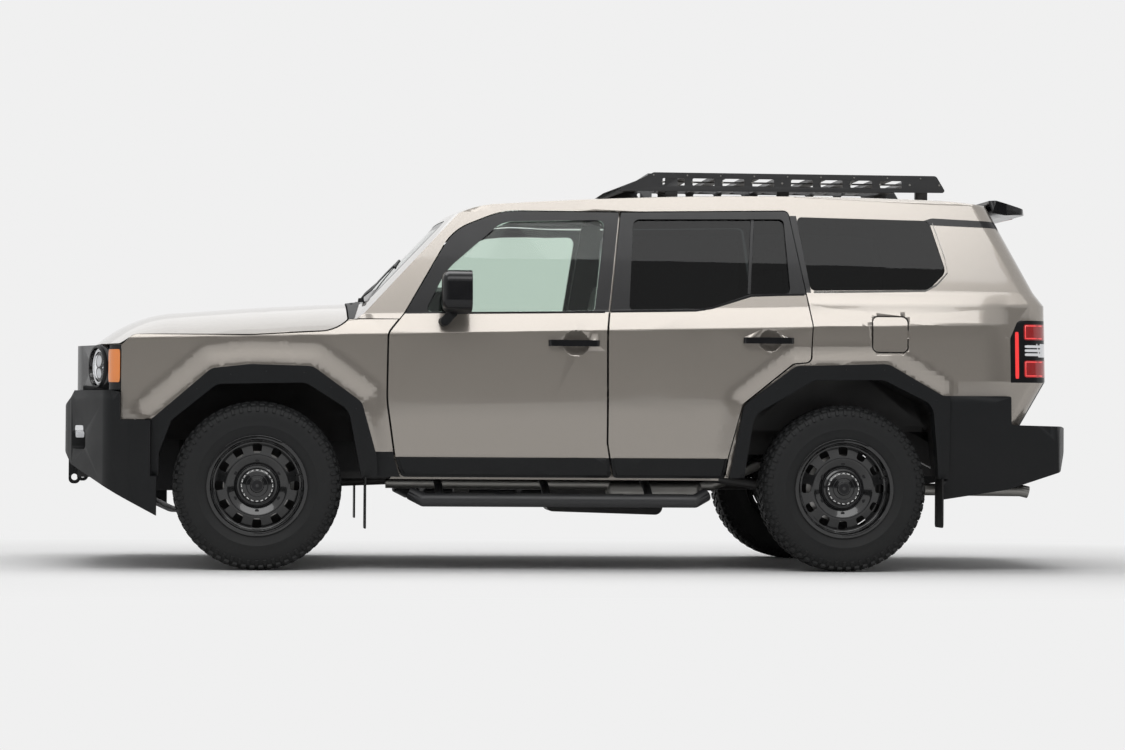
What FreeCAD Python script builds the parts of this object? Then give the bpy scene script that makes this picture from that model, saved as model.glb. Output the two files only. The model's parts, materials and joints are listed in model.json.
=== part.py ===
import FreeCAD, Part
import math, os
from FreeCAD import Vector

os.makedirs("parts", exist_ok=True)

# Five-door body-on-frame off-roader. Millimetres. While building, X runs rearward from the front
# axle, Y to the vehicle's right and Z up from the ground; write() moves all to the part's own frame.

# ---- driving sizes -------------------------------------------------------------------------------
WHEELBASE = 2850.0
TRACK_HALF = 832.0
FRONT_OVERHANG = 940.0
REAR_OVERHANG = 1190.0
BODY_HALF = 950.0          # half width at the shoulder crease
PLAN_BOW_R = 60000.0       # plan radius of the flanks
ROOF_Z = 1862.0            # roof skin on the centreline above the rear door
ROOF_CROWN_R = 9000.0
BONNET_CROWN_R = 2900.0
SKIN = 22.0                # thin outer panels
DOOR_LOW = 115.0           # door thickness below the belt
DOOR_FRAME = 45.0          # window frame thickness
GAP = 6.0                  # shut line between panels
HINGE_GAP = 9.0            # shut line on a hinge side
SEAT = 0.3                 # running gap between pieces of different bodies
FLARE = 34.0               # how far arch flares stand off the flank
FLOOR_Z = 555.0
FLOOR_T = 30.0
TYRE_R = 406.0
TYRE_W = 245.0
RIM_R = 228.0              # bead seat radius
RIM_FLANGE = 15.0
DISC_R = 165.0
SLOTS = 12
RAIL_Y = 385.0             # frame rail centre
RAIL_W = 90.0
RAIL_H = 120.0
KINGPIN_IN = 88.0          # kingpin axis inboard of the wheel's centre plane
GLASS = 5.0
RACK_Z = 1966.0
RACK_HALF = 560.0
SHEAR = 0.25               # taper of the door rear shut faces, X per depth

RA = WHEELBASE
FRONT = -FRONT_OVERHANG
BACK = RA + REAR_OVERHANG
SHIFT = Vector(-(FRONT + BACK) / 2, 0, 0)

# flank section at mid length: height, inset from BODY_HALF, corner radius
FLANK = [(250, 45, 0), (545, 16, 400), (770, 3, 1500), (1150, 0, 25), (1250, 36, 60), (1745, 167, 0), (2000, 234, 0)]
FLANK_MID_X = 1500.0
BELT_LEDGE_Z = 1235.0
WEDGE_DEG = 1.4            # the belt rises to the rear by this angle


# ---- drawing helpers -----------------------------------------------------------------------------
def closed(points):
    """Planar face through (x, y, z, corner radius) points."""
    pts = [Vector(*p[:3]) for p in points]
    n = len(pts)
    ends = []
    for i in range(n):
        p, r = pts[i], points[i][3]
        a = (p - pts[i - 1]).normalize()
        b = (pts[(i + 1) % n] - p).normalize()
        turn = a.getAngle(b)
        if r <= 0 or turn < 1e-4:
            ends.append((p, None, p))
            continue
        d = r * math.tan(turn / 2)
        mid = p + (b - a).normalize() * (r / math.cos(turn / 2) - r)
        ends.append((p - a * d, mid, p + b * d))
    edges = []
    for i in range(n):
        start, mid, end = ends[i]
        if mid:
            edges.append(Part.Arc(start, mid, end).toShape())
        nxt = ends[(i + 1) % n][0]
        if end.distanceToPoint(nxt) > 1e-6:
            edges.append(Part.LineSegment(end, nxt).toShape())
    return Part.Face(Part.Wire(edges))


def rad(p):
    return p[2] if len(p) > 2 else 0


def face_xz(points, y=0.0):
    return closed([(p[0], y, p[1], rad(p)) for p in points])


def face_yz(points, x=0.0):
    return closed([(x, p[0], p[1], rad(p)) for p in points])


def face_xy(points, z=0.0):
    return closed([(p[0], p[1], z, rad(p)) for p in points])


def prism_y(points, y0, y1):
    return face_xz(points, y0).extrude(Vector(0, y1 - y0, 0))


def prism_x(points, x0, x1):
    return face_yz(points, x0).extrude(Vector(x1 - x0, 0, 0))


def prism_z(points, z0, z1):
    return face_xy(points, z0).extrude(Vector(0, 0, z1 - z0))


def box(x0, x1, y0, y1, z0, z1):
    return Part.makeBox(x1 - x0, y1 - y0, z1 - z0, Vector(x0, y0, z0))


def soft_box(x0, x1, y0, y1, z0, z1, r):
    b = box(x0, x1, y0, y1, z0, z1)
    return b.makeFillet(r, b.Edges)


def rod(p, q, r):
    p, q = Vector(*p), Vector(*q)
    return Part.makeCylinder(r, (q - p).Length, p, q - p)


def bent_rod(points, r):
    s = rod(points[0], points[1], r)
    for i in range(1, len(points) - 1):
        s = s.fuse(Part.makeSphere(r, Vector(*points[i]))).fuse(rod(points[i], points[i + 1], r))
    return s


def turned(points, y_dir=1.0):
    """Revolve of (radius, y, corner radius) points about the Y axis."""
    f = closed([(p[0], y_dir * p[1], 0, rad(p)) for p in points])
    return f.revolve(Vector(0, 0, 0), Vector(0, 1, 0), 360)


def mirrored(s):
    return s.mirror(Vector(0, 0, 0), Vector(0, 1, 0))


def both(s):
    return Part.makeCompound([mirrored(s), s])


def moved(s, x, y, z):
    s = s.copy()
    s.translate(Vector(x, y, z))
    return s


def joined(shapes):
    s = shapes[0].fuse(shapes[1:]) if len(shapes) > 1 else shapes[0]
    return s.removeSplitter()


def write(name, shape):
    solids = [s for s in shape.Solids if s.Volume > 60]
    out = Part.makeCompound(solids) if len(solids) > 1 else solids[0]
    if not out.isValid():
        print("INVALID", name)
    out = out.copy()
    out.translate(SHIFT)
    out.exportStep("parts/" + name + ".step")
    b = out.BoundBox
    print("%-24s %2d solids  x %6.0f %6.0f  y %6.0f %6.0f  z %6.0f %6.0f" % (
        name, len(solids), b.XMin, b.XMax, b.YMin, b.YMax, b.ZMin, b.ZMax))


# ---- master surfaces -----------------------------------------------------------------------------
def skin_half(z):
    """Half width of the flank at mid length, straight between the section's corners."""
    for (z0, w0, _), (z1, w1, _) in zip(FLANK, FLANK[1:]):
        if z <= z1:
            return BODY_HALF - w0 - (w1 - w0) * (z - z0) / (z1 - z0)
    return BODY_HALF - FLANK[-1][1]


def right_flank(lo, hi=None):
    """Everything inside the right flank, moved in by lo below the belt and hi above it."""
    hi = lo if hi is None else hi
    pts = [(-1300, 250)]
    for z, inset, r in FLANK:
        w = BODY_HALF - inset
        if lo != hi and z == 1250:
            pts += [(w - lo + 5, BELT_LEDGE_Z), (w - hi + 5, BELT_LEDGE_Z)]
        else:
            pts.append((w - (lo if z < 1240 else hi), z, r))
    pts.append((-1300, 2000))
    f = face_yz(pts, FLANK_MID_X)
    axis = Vector(FLANK_MID_X, BODY_HALF - PLAN_BOW_R, 0)
    sweep = math.degrees(3300 / PLAN_BOW_R)
    f.rotate(axis, Vector(0, 0, 1), -sweep)
    s = f.revolve(axis, Vector(0, 0, 1), 2 * sweep)
    s.rotate(Vector(1000, 0, 1150), Vector(0, 1, 0), -WEDGE_DEG)
    return s


def flanks(lo, hi=None):
    s = right_flank(lo, hi)
    return s.common(mirrored(s))


def crowned(edges, radius, top_z, half_width=1300.0):
    """Solid under a side profile swept over a crown about an X axis below."""
    f = Part.Face(Part.Wire(edges))
    axis = Vector(0, 0, top_z - radius)
    a = math.degrees(math.asin(half_width / radius))
    f.rotate(axis, Vector(1, 0, 0), -a)
    return f.revolve(axis, Vector(1, 0, 0), 2 * a)


def polyarc(start, moves):
    """Side profile edges: each move is (x, z) for a line or ((x, z), (x, z)) for an arc via, to."""
    p = Vector(start[0], 0, start[1])
    out = []
    for m in moves:
        if isinstance(m[0], tuple):
            v, q = Vector(m[0][0], 0, m[0][1]), Vector(m[1][0], 0, m[1][1])
            out.append(Part.Arc(p, v, q).toShape())
        else:
            q = Vector(m[0], 0, m[1])
            out.append(Part.LineSegment(p, q).toShape())
        p = q
    return out


def roof(drop):
    d = ROOF_Z - drop
    return crowned(polyarc((-900, 200), [
        (-900, d - 127), (905, d - 127),
        ((1016, d - 72), (1165, d - 44)),
        ((1900, d - 4), (RA + 450, d)),
        ((RA + 630, d - 12), (RA + 790, d - 34)),
        (RA + 1400, d - 150), (RA + 1400, 200), (-900, 200)]), ROOF_CROWN_R, ROOF_Z)


SCREEN_FOOT = (540.0, 1358.0)
SCREEN_TOP = (905.0, 1735.0)
SCREEN_R = 5000.0


def screen(back):
    """Everything behind the windscreen plane, moved back along X."""
    slope = (SCREEN_TOP[0] - SCREEN_FOOT[0]) / (SCREEN_TOP[1] - SCREEN_FOOT[1])
    z0, w = 300.0, 1200.0
    x0 = SCREEN_FOOT[0] - (SCREEN_FOOT[1] - z0) * slope + back
    s = w * w / 2 / SCREEN_R
    far = x0 + 6500
    e = [Part.Arc(Vector(x0 + s, -w, z0), Vector(x0, 0, z0), Vector(x0 + s, w, z0)).toShape(),
         Part.LineSegment(Vector(x0 + s, w, z0), Vector(far, w, z0)).toShape(),
         Part.LineSegment(Vector(far, w, z0), Vector(far, -w, z0)).toShape(),
         Part.LineSegment(Vector(far, -w, z0), Vector(x0 + s, -w, z0)).toShape()]
    return Part.Face(Part.Wire(e)).extrude(Vector(slope, 0, 1) * 1800)


# tail sections: height, x of the skin on the centreline from the rear axle, half width at the corner
TAIL = [(200, 900, 868), (700, 940, 892), (935, 1075, 900), (1310, 1072, 852 + 20), (1375, 1022, 852), (1800, 800, 739), (2100, 643, 660)]
TAIL_CORNER_R = 95.0
TAIL_LEAN_DEG = 8.6        # how far the tail bows in plan


def tail(forward, side_in=0.0):
    """Everything ahead of the tail skin, moved forward, with rounded rear corners."""
    wires = []
    for z, x, w in TAIL:
        xr, half = RA + x - forward, w - side_in
        lean = math.tan(math.radians(TAIL_LEAN_DEG))
        bow_r = (half - 1.5 * TAIL_CORNER_R) / lean
        corner, middle = xr - half * lean * 0.5, xr + half * lean * 0.5
        f = closed([(-1200, -half - 80, z, 0), (corner, -half, z, TAIL_CORNER_R), (middle, 0, z, bow_r),
                    (corner, half, z, TAIL_CORNER_R), (-1200, half + 80, z, 0)])
        wires.append(f.OuterWire)
    return Part.makeLoft(wires, True, True)


# nose in plan, right half: x from FRONT, half width, corner radius; the lamps sit on the slanted run
NOSE = [(45, 450, 500), (240, 880, 90), (400, 975, 0)]


def nose(back):
    """Everything behind the nose outline in plan."""
    half = [(FRONT + back + x, w, r) for x, w, r in NOSE]
    pts = half + [(3000, 1100, 0), (3000, -1100, 0)] + [(x, -w, r) for x, w, r in reversed(half)]
    return prism_z(pts, 0, 1500)


# ---- outlines on the side, (x, z, corner radius) --------------------------------------------------
HALF_GAP = HINGE_GAP / 2
FRONT_DOOR = [(694, 452, 25), (664, 543, 60), (624, 822, 500), (628, 1144, 60), (704, 1240, 60),
              (940, 1650, 250), (1180, 1748, 400), (1757 - HALF_GAP, 1748, 8), (1685 - HALF_GAP, 1164, 300), (1688 - HALF_GAP, 620, 60), (1716 - HALF_GAP, 452, 20)]
REAR_DOOR = [(1716 + HALF_GAP, 452, 20), (1688 + HALF_GAP, 620, 60), (1685 + HALF_GAP, 1164, 300), (1757 + HALF_GAP, 1748, 8), (RA - 262, 1765, 25),
             (RA - 187, 1359, 200), (RA - 161, 1203, 60), (RA - 169, 1022, 30), (RA - 256, 1015, 40), (RA - 505, 815, 40),
             (RA - 572, 560, 60), (RA - 590, 452, 20)]
FRONT_WINDOW = [(800, 1249, 20), (905, 1455, 300), (1180, 1697, 130), (1684, 1711, 35), (1623, 1257, 25)]
REAR_WINDOW = [(1792, 1264, 25), (1822, 1716, 35), (RA - 284, 1726, 25), (RA - 262, 1356, 25), (2387, 1350, 40), (2160, 1272, 60)]
QUARTER_WINDOW = [(RA - 218, 1738, 22), (RA - 160, 1372, 30), (RA + 428, 1384, 60), (RA + 519, 1471, 50), (RA + 445, 1728, 35)]
ARCH_FRONT = [(-470, 100), (-470, 560), (-411, 718, 60), (-195, 893, 70), (229, 903, 90), (436, 772, 90), (500, 446), (512, 100)]
ARCH_REAR = [(-500, 100), (-494, 466), (-450, 762, 90), (-157, 934, 80), (188, 937, 90), (435, 817, 90), (478, 353), (478, 100)]
FLARE_FRONT = [(-506, 100), (-506, 722, 10), (-222, 968, 60), (-38, 989, 200), (262, 982, 80), (498, 811, 60), (572, 548, 60), (590, 100)]
FLARE_REAR = [(-584, 100), (-567, 466, 60), (-499, 810, 60), (-246, 1001, 60), (212, 1015, 80), (484, 862, 30), (520, 862, 0), (520, 100)]


def at_rear(points):
    return [(p[0] + RA,) + tuple(p[1:]) for p in points]


def grown(points, by, y0, y1):
    """Prism of an outline made larger or smaller all round."""
    f = face_xz(points, y0)
    if by:
        f = f.makeOffset2D(by, 2 if by > 0 else 0)
        if not f.Faces:
            f = Part.Face(f.Wires[0])
    return f.extrude(Vector(0, y1 - y0, 0))


def grown_x(points, by, x0, x1):
    f = face_yz(points, x0).makeOffset2D(by, 2 if by > 0 else 0)
    f = f if f.Faces else Part.Face(f.Wires[0])
    return f.extrude(Vector(x1 - x0, 0, 0))


def swing_prism(points):
    """Outline drawn in towards the centre at a slant, so that the rear shut face clears on opening."""
    pts = [(x + SHEAR * (BODY_HALF - skin_half(z)), z, rad(p)) for p in points for x, z in [p[:2]]]
    lead = min(p[0] for p in pts)
    pts = [(p[0] - 500 if p[0] < lead + 330 and p[0] < 1500 else p[0],) + tuple(p[1:]) for p in pts]
    return face_xz(pts, BODY_HALF).extrude(Vector(-SHEAR, -1, 0) * 420)


cabin_outer = flanks(0).common(roof(0)).common(tail(0)).common(screen(0))
cabin_skin = flanks(-SEAT).common(roof(-SEAT)).common(tail(-SEAT, -SEAT)).common(screen(-SEAT))
cabin_inner = flanks(DOOR_LOW, DOOR_FRAME).common(roof(DOOR_FRAME)).common(tail(120, 90)).common(screen(75))
right_wall = right_flank(0).cut(right_flank(DOOR_LOW, DOOR_FRAME)).common(roof(0))


# ---- body shell ----------------------------------------------------------------------------------
LIP = 10.0
BELT_CUT_Z = 1215.0
SIDE_TO_SIDE = (-1100, 1100)
arch_front_hole = grown(ARCH_FRONT, LIP, 540, 1100)
arch_rear_hole = grown(at_rear(ARCH_REAR), LIP, 540, 1100)
TAIL_LAMP = [(RA + 830, 930), (RA + 830, 1148, 15), (RA + 868, 1236, 25), (RA + 1200, 1236), (RA + 1200, 930)]
LAMP_IN_Y = 728.0
TAILGATE_LOW = 782.0
TAILGATE = [(-700, TAILGATE_LOW, 60), (700, TAILGATE_LOW, 60), (708, 1300, 300), (645, 1778, 10), (645, 1950), (-645, 1950), (-645, 1778, 10), (-708, 1300, 300)]
HATCH_X = RA + 766
SCREEN_HOLE = [(-650, 1300, 60), (650, 1300, 60), (585, 1712, 70), (-585, 1712, 70)]

SILL_OUT = 794.0           # sill's outer face, inside the doors
KICK = 130.0               # how far the frame and the cargo floor rise over the rear axle
SIDE_GLASS_IN = 0.3

screen_hole = prism_x(SCREEN_HOLE, 300, 1150)
tail_lamp_space = prism_y(TAIL_LAMP, LAMP_IN_Y, 1100)
RIGHT_HALF = box(-1400, 5000, 0, 1200, 0, 2200)
side = cabin_outer.cut(cabin_inner).common(RIGHT_HALF)
for room in (box(-1300, 700, -10, 1100, 0, BELT_CUT_Z), box(-1300, 5000, -10, 1100, 0, FLOOR_Z - 100),
             box(600, 5000, -10, SILL_OUT, 0, FLOOR_Z), grown(FRONT_DOOR, GAP, 560, 1100), grown(REAR_DOOR, GAP, 560, 1100),
             arch_rear_hole, tail_lamp_space, grown(QUARTER_WINDOW, SEAT, 560, 1100), screen_hole,
             prism_x(TAILGATE, HATCH_X, RA + 1300)):
    side = side.cut(room)
side = max(side.Solids, key=lambda q: q.Volume)


HINGE_BACK, HINGE_DEEP = 35.0, 16.0      # axis behind the door's front edge and inside the skin
FRONT_AXIS = (628 + HINGE_BACK, BODY_HALF - 6.5 - HINGE_DEEP)
REAR_AXIS = (1685 + HALF_GAP + HINGE_BACK, BODY_HALF - 0.5 - HINGE_DEEP)
HINGE_ZS = (840.0, 1080.0)
PIN_R, EYE_R, EYE_L = 5.0, 9.0, 40.0


def hinge_pocket(axis, z):
    x, y = axis
    return box(x - 80, x + EYE_R + 4, y - 150, y + EYE_R + 3, z - EYE_L / 2 - 6, z + EYE_L / 2 + 6)


def body_hinges():
    """Eyes on the hinge post and the B-pillar that hold the doors' pins."""
    out = []
    for x, y in (FRONT_AXIS, REAR_AXIS):
        for z in HINGE_ZS:
            leaf = box(x - EYE_R + 2, x + EYE_R, y - 104, y, z - EYE_L / 2, z + EYE_L / 2)
            eye = rod((x, y, z - EYE_L / 2), (x, y, z + EYE_L / 2), EYE_R)
            out.append(leaf.fuse(eye).cut(rod((x, y, z - 60), (x, y, z + 60), PIN_R + SEAT)))
    return out


def tub(arch, y_in, y_out, z_low):
    """Wheel house: arched plate over the tyre with a wall on the frame side."""
    plate = grown(arch, LIP + 12, y_in, y_out).cut(grown(arch, LIP + SEAT, y_in - 1, y_out + 1))
    wall = grown(arch, LIP + 12, y_in, y_in + 12)
    return plate.fuse(wall).cut(box(-1000, 5000, -1100, 1100, 0, z_low))


def floor_line(z, x0, x1):
    """Side line of the floor and of the frame rails, which climb over the rear axle."""
    return [(x0, z), (RA - 650, z, 120), (RA - 430, z + KICK, 120), (x1, z + KICK)]


floor_top = [(p[0], p[1] + FLOOR_T, rad(p)) for p in floor_line(FLOOR_Z, 606, RA + 860)]
floor = prism_y(floor_line(FLOOR_Z, 606, RA + 860) + floor_top[::-1], -SILL_OUT, SILL_OUT)
wheel_room = grown(at_rear(ARCH_REAR), LIP + SEAT, 572, 1100)
floor = floor.cut(wheel_room).cut(mirrored(wheel_room))
rear_tub = tub(at_rear(ARCH_REAR), 560, 880, FLOOR_Z - 90)
front_tub = tub(ARCH_FRONT, 500, 880, 620).common(box(-470, 606, 0, 1100, 0, 1300))
front_tub = front_tub.cut(box(-60, 170, 400, 590, 0, 735))
apron = box(-735, 606, 500, 512, 860, 1040)
sill = box(640, RA - 600, 700, SILL_OUT, FLOOR_Z - 115, FLOOR_Z + 1)
pillar_layer = right_flank(DOOR_LOW + SEAT, DOOR_FRAME + SEAT).cut(right_flank(DOOR_LOW + 42, DOOR_LOW)).common(roof(20))
hinge_post = pillar_layer.common(prism_y([(644, 530), (644, 1216), (760, 1216), (760, 1130), (820, 560), (820, 530)], 500, 1100))
b_pillar = pillar_layer.common(prism_y([(1636, 530), (1640, 1235), (1716, 1775), (1812, 1775), (1796, 1235), (1800, 530)], 500, 1100))
post_feet = [box(672, 820, SILL_OUT - 60, SILL_OUT, FLOOR_Z - 60, 760), box(1636, 1800, SILL_OUT - 60, SILL_OUT, FLOOR_Z - 60, 700),
             box(606, 690, 760, 800, 600, 1216)]
radiator = prism_x([(-560, 600), (560, 600), (560, 1040), (-560, 1040)], -735, -705).cut(box(-800, -600, -500, 500, 640, 1000))
LATCH_Z = 1060.0
latch = box(-735, -700, -60, 60, 1040, LATCH_Z)
under = prism_y([(600, 0), (600, FLOOR_Z)] + floor_line(FLOOR_Z, 606, 5000)[1:] + [(5000, 0)], -10, SILL_OUT - 94)
side = side.fuse([rear_tub, front_tub, apron, sill, hinge_post, b_pillar] + post_feet + body_hinges())
side = side.cut(under).cut(wheel_room)
body = side.fuse([mirrored(side), floor, box(606, 636, -790, 790, FLOOR_Z, 1262), radiator, latch])

# recess and catch of the fuel flap, left side
FLAP_X, FLAP_Z, FLAP, FLAP_T, FLAP_GAP = RA + 225, 1160.0, 170.0, 6.0, GAP
flap_outline = [(FLAP_X - FLAP / 2, FLAP_Z - FLAP / 2, 26), (FLAP_X + FLAP / 2, FLAP_Z - FLAP / 2, 26),
                (FLAP_X + FLAP / 2, FLAP_Z + FLAP / 2, 26), (FLAP_X - FLAP / 2, FLAP_Z + FLAP / 2, 26)]
recess = right_flank(-5).cut(right_flank(52)).common(grown(flap_outline, FLAP_GAP, 500, 1100))
catch = right_flank(FLAP_T + SEAT).cut(right_flank(54)).common(box(FLAP_X + FLAP / 2 - 10, FLAP_X + FLAP / 2 + 8, 500, 1100, FLAP_Z - 20, FLAP_Z + 20))
filler = rod((FLAP_X + 8, BODY_HALF - 110, FLAP_Z - 8), (FLAP_X + 8, BODY_HALF - 68, FLAP_Z - 8), 36)
body = body.cut(mirrored(recess)).fuse([mirrored(catch), mirrored(filler)])

# rubber stops under the tailgate
for y in (-450, 450):
    body = body.fuse(rod((RA + 985, y, TAILGATE_LOW - 12), (RA + 985, y, TAILGATE_LOW + GAP - SEAT), 12))


# ---- doors ---------------------------------------------------------------------------------------
CLAD_TOP = 548.0
LEAD_BACK, LEAD_LOW, LEAD_FRAME = 20.0, 65.0, 26.0   # the hinge edge is thinner, so that it clears the pillar on opening
CLAD_OUT = 8.0
HANDLE_L, HANDLE_H, HANDLE_OUT = 250.0, 30.0, 36.0


def door(outline, window, handle_x, handle_z, axis):
    s = right_wall.common(grown(outline, 0, 500, 1100)).common(swing_prism(outline))
    s = s.cut(grown(window, 0, 500, 1100))
    lead = box(0, axis[0] + LEAD_BACK, 0, 1100, 0, BELT_LEDGE_Z + 21)
    s = s.cut(right_flank(LEAD_LOW).common(lead)).cut(right_flank(LEAD_FRAME).common(moved(lead, 0, 0, 165)))
    band = right_flank(-CLAD_OUT).cut(right_flank(2)).common(grown(outline, -14, 500, 1100))
    band = band.common(box(-500, 5000, 0, 1100, 0, CLAD_TOP))
    bowl = Part.makeSphere(95, Vector(handle_x + 10, BODY_HALF + 68, handle_z))
    s = s.cut(bowl)
    half = HANDLE_L / 2
    y = BODY_HALF - 12
    bar = prism_z([(handle_x - half, y - 12, 0), (handle_x - half, y + HANDLE_OUT, 26), (handle_x + half, y + HANDLE_OUT, 26),
                   (handle_x + half, y - 12, 0), (handle_x + half - 46, y - 12, 0), (handle_x + half - 56, y + HANDLE_OUT - 18, 12),
                   (handle_x - half + 56, y + HANDLE_OUT - 18, 12), (handle_x - half + 46, y - 12, 0)], handle_z - HANDLE_H / 2, handle_z + HANDLE_H / 2)
    s = joined([s, band, bar])
    for z in HINGE_ZS:
        s = s.cut(hinge_pocket(axis, z)).fuse(rod((*axis, z - EYE_L / 2 - 8), (*axis, z + EYE_L / 2 + 8), PIN_R))
    return s


def pane(window, depth):
    return right_flank(depth).cut(right_flank(depth + GLASS)).common(grown(window, -SIDE_GLASS_IN, 500, 1100))


HANDLE_FRONT = (1521, 1103)
HANDLE_REAR = (2472, 1124)
MIRROR_X, MIRROR_Z = 946.0, 1343.0


def mirror():
    head = prism_x([(BODY_HALF + 30, MIRROR_Z - 108, 30), (BODY_HALF + 40, MIRROR_Z + 112, 45), (BODY_HALF + 165, MIRROR_Z + 90, 55),
                    (BODY_HALF + 175, MIRROR_Z - 80, 50)], MIRROR_X - 72, MIRROR_X + 72)
    edges = [e for e in head.Edges if e.BoundBox.XLength < 1 and e.BoundBox.XMin < MIRROR_X]
    head = head.makeFillet(38, edges)
    face = prism_x([(BODY_HALF + 44, MIRROR_Z - 92, 24), (BODY_HALF + 52, MIRROR_Z + 96, 36), (BODY_HALF + 152, MIRROR_Z + 76, 44),
                    (BODY_HALF + 160, MIRROR_Z - 66, 40)], MIRROR_X + 60, MIRROR_X + 90)
    head = head.cut(face)
    foot = bent_rod([(880, 880, 1200), (896, BODY_HALF + 20, 1205), (930, BODY_HALF + 62, 1245)], 24)
    base = prism_y([(826, 1150, 20), (842, 1236, 20), (900, 1236, 20), (932, 1160, 20)], 500, 1100)
    base = base.common(right_flank(-9).cut(right_flank(0)))
    return joined([head, foot.cut(right_flank(0)), base])


write("body_shell", body)

for side, flip in (("left", mirrored), ("right", lambda s: s)):
    write("front_door_" + side, flip(door(FRONT_DOOR, FRONT_WINDOW, *HANDLE_FRONT, FRONT_AXIS)))
    write("front_door_glass_" + side, flip(pane(FRONT_WINDOW, 14)))
    write("rear_door_" + side, flip(door(REAR_DOOR, REAR_WINDOW, *HANDLE_REAR, REAR_AXIS)))
    write("rear_door_glass_" + side, flip(pane(REAR_WINDOW, 14)))
    write("mirror_" + side, flip(mirror()))
write("quarter_glass", both(pane(QUARTER_WINDOW, 12)))
write("windscreen", screen(3).cut(screen(11)).common(grown_x(SCREEN_HOLE, -SEAT, 300, 1150)))


# ---- front panels --------------------------------------------------------------------------------
BONNET_REAR_X = 430.0
SHUT = [(-665, 1085, 30), (-598, 1132, 40), (-40, 1131, 900), (370, 1155, 200), (BONNET_REAR_X + 6, 1212, 5)]
LAMP_BOTTOM, LAMP_TOP = 862.0, 1079.0
LAMP_REAR_X = -652.0
GRILLE_HALF = 455.0


def bonnet_skin(drop):
    edges = polyarc((BONNET_REAR_X + 400, 700), [
        (BONNET_REAR_X + 400, 1362 - drop), (BONNET_REAR_X, 1313 - drop),
        ((60, 1294 - drop), (-380, 1261 - drop)),
        ((-640, 1205 - drop), (-800 + drop * 0.6, 1105 - drop)),
        (-850 + drop, 1020 - drop), (-850 + drop, 700), (BONNET_REAR_X + 400, 700)])
    return crowned(edges, BONNET_CROWN_R, 1300.0, 1100.0)


def above_shut(offset, x1):
    pts = [(-1100, 1085 + offset)] + [(p[0], p[1] + offset, rad(p)) for p in SHUT]
    pts = [p if p[0] < 400 else (x1, p[1], 0) for p in pts]
    return prism_y(pts + [(x1, 1600), (-1100, 1600)], *SIDE_TO_SIDE)


bonnet = bonnet_skin(0).common(flanks(0)).common(nose(50)).common(above_shut(GAP / 2, BONNET_REAR_X))
bonnet = bonnet.cut(bonnet_skin(SKIN + 4).common(flanks(SKIN + 8)).common(nose(50 + SKIN)))
striker = box(-732, -712, -20, 20, LATCH_Z + SEAT, 1160)
bonnet = bonnet.fuse(striker.common(bonnet_skin(4)))
write("bonnet", bonnet)

cowl = bonnet_skin(-2).common(flanks(2)).common(box(BONNET_REAR_X + GAP + 2, 780, -1100, 1100, BELT_CUT_Z + SEAT, 1500)).cut(screen(-SEAT))
for i in range(10):
    y = -360 + 80 * i
    cowl = cowl.cut(box(BONNET_REAR_X + 25, BONNET_REAR_X + 40, y - 30, y + 30, 1302, 1400))
write("cowl", cowl)


fender_zone = prism_y([(LAMP_REAR_X, LAMP_BOTTOM - 141), (LAMP_REAR_X, LAMP_TOP - GAP / 2)] +
                      [(p[0], p[1] - GAP / 2, rad(p)) for p in SHUT[1:]] + [(715, 1212), (715, 452), (400, 452), (400, 721)], 500, 1100)
fender_zone = fender_zone.cut(arch_front_hole).cut(grown(FRONT_DOOR, HINGE_GAP, 500, 1100))
fender = right_flank(0).common(nose(0)).cut(right_flank(SKIN).common(nose(SKIN))).common(fender_zone)
fender = max(fender.Solids, key=lambda q: q.Volume)
write("front_fender_right", fender)
write("front_fender_left", mirrored(fender))


def flare(arch, ring, hole):
    rim = prism_y(ring, 500, 1100).cut(grown(arch, 0, 500, 1100))
    plate = right_flank(-FLARE).cut(right_flank(-SEAT)).common(rim)
    lip = right_flank(-FLARE + 6).cut(right_flank(55)).common(grown(arch, LIP - SEAT, 500, 1100).cut(grown(arch, 0, 500, 1100)))
    return plate.fuse(lip)


front_flare = flare(ARCH_FRONT, FLARE_FRONT, arch_front_hole).common(box(-506, 700, 0, 1100, 452, 1100))
front_flare = front_flare.cut(grown(FRONT_DOOR, GAP + 2, 500, 1100))
rear_flare = flare(at_rear(ARCH_REAR), at_rear(FLARE_REAR), arch_rear_hole).common(box(0, RA + 520, 0, 1100, 455, 1100))
rear_flare = rear_flare.cut(grown(REAR_DOOR, GAP + 2, 500, 1100))
write("front_arch_flares", both(front_flare))
write("rear_arch_flares", both(rear_flare))

# grille: framed panel between the lamps with pitched bars
grille = nose(14).cut(nose(60)).common(box(-1000, -500, -GRILLE_HALF, GRILLE_HALF, LAMP_BOTTOM - 2, 1074))
for row in range(3):
    z = LAMP_BOTTOM + 26 + row * 60
    for col in range(6):
        y = -420 + col * 142
        grille = grille.cut(box(-1000, -500, y, y + 130, z, z + 40))
write("grille", grille)

# headlights: black housing, round lens in a ring on the slanted run, marker at the corner
lamp_axis = Vector(-math.cos(math.radians(24.5)), math.sin(math.radians(24.5)), 0)
LAMP_C = Vector(-770, 735, 973)
housing = nose(0).cut(nose(105)).common(right_flank(0)).common(box(-1000, LAMP_REAR_X - 3, GRILLE_HALF, 1100, LAMP_BOTTOM, LAMP_TOP - 1))
bore = Part.makeCylinder(92, 90, LAMP_C - lamp_axis * 30, lamp_axis)
lens = Part.makeSphere(220, LAMP_C - lamp_axis * 212).common(Part.makeCylinder(92, 60, LAMP_C - lamp_axis * 30.3, lamp_axis))
ring = Part.makeCylinder(103, 22, LAMP_C - lamp_axis * 12, lamp_axis).cut(Part.makeCylinder(91, 60, LAMP_C - lamp_axis * 30, lamp_axis))
headlight = housing.cut(bore).fuse([lens, ring])
write("headlights", both(headlight))

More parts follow.
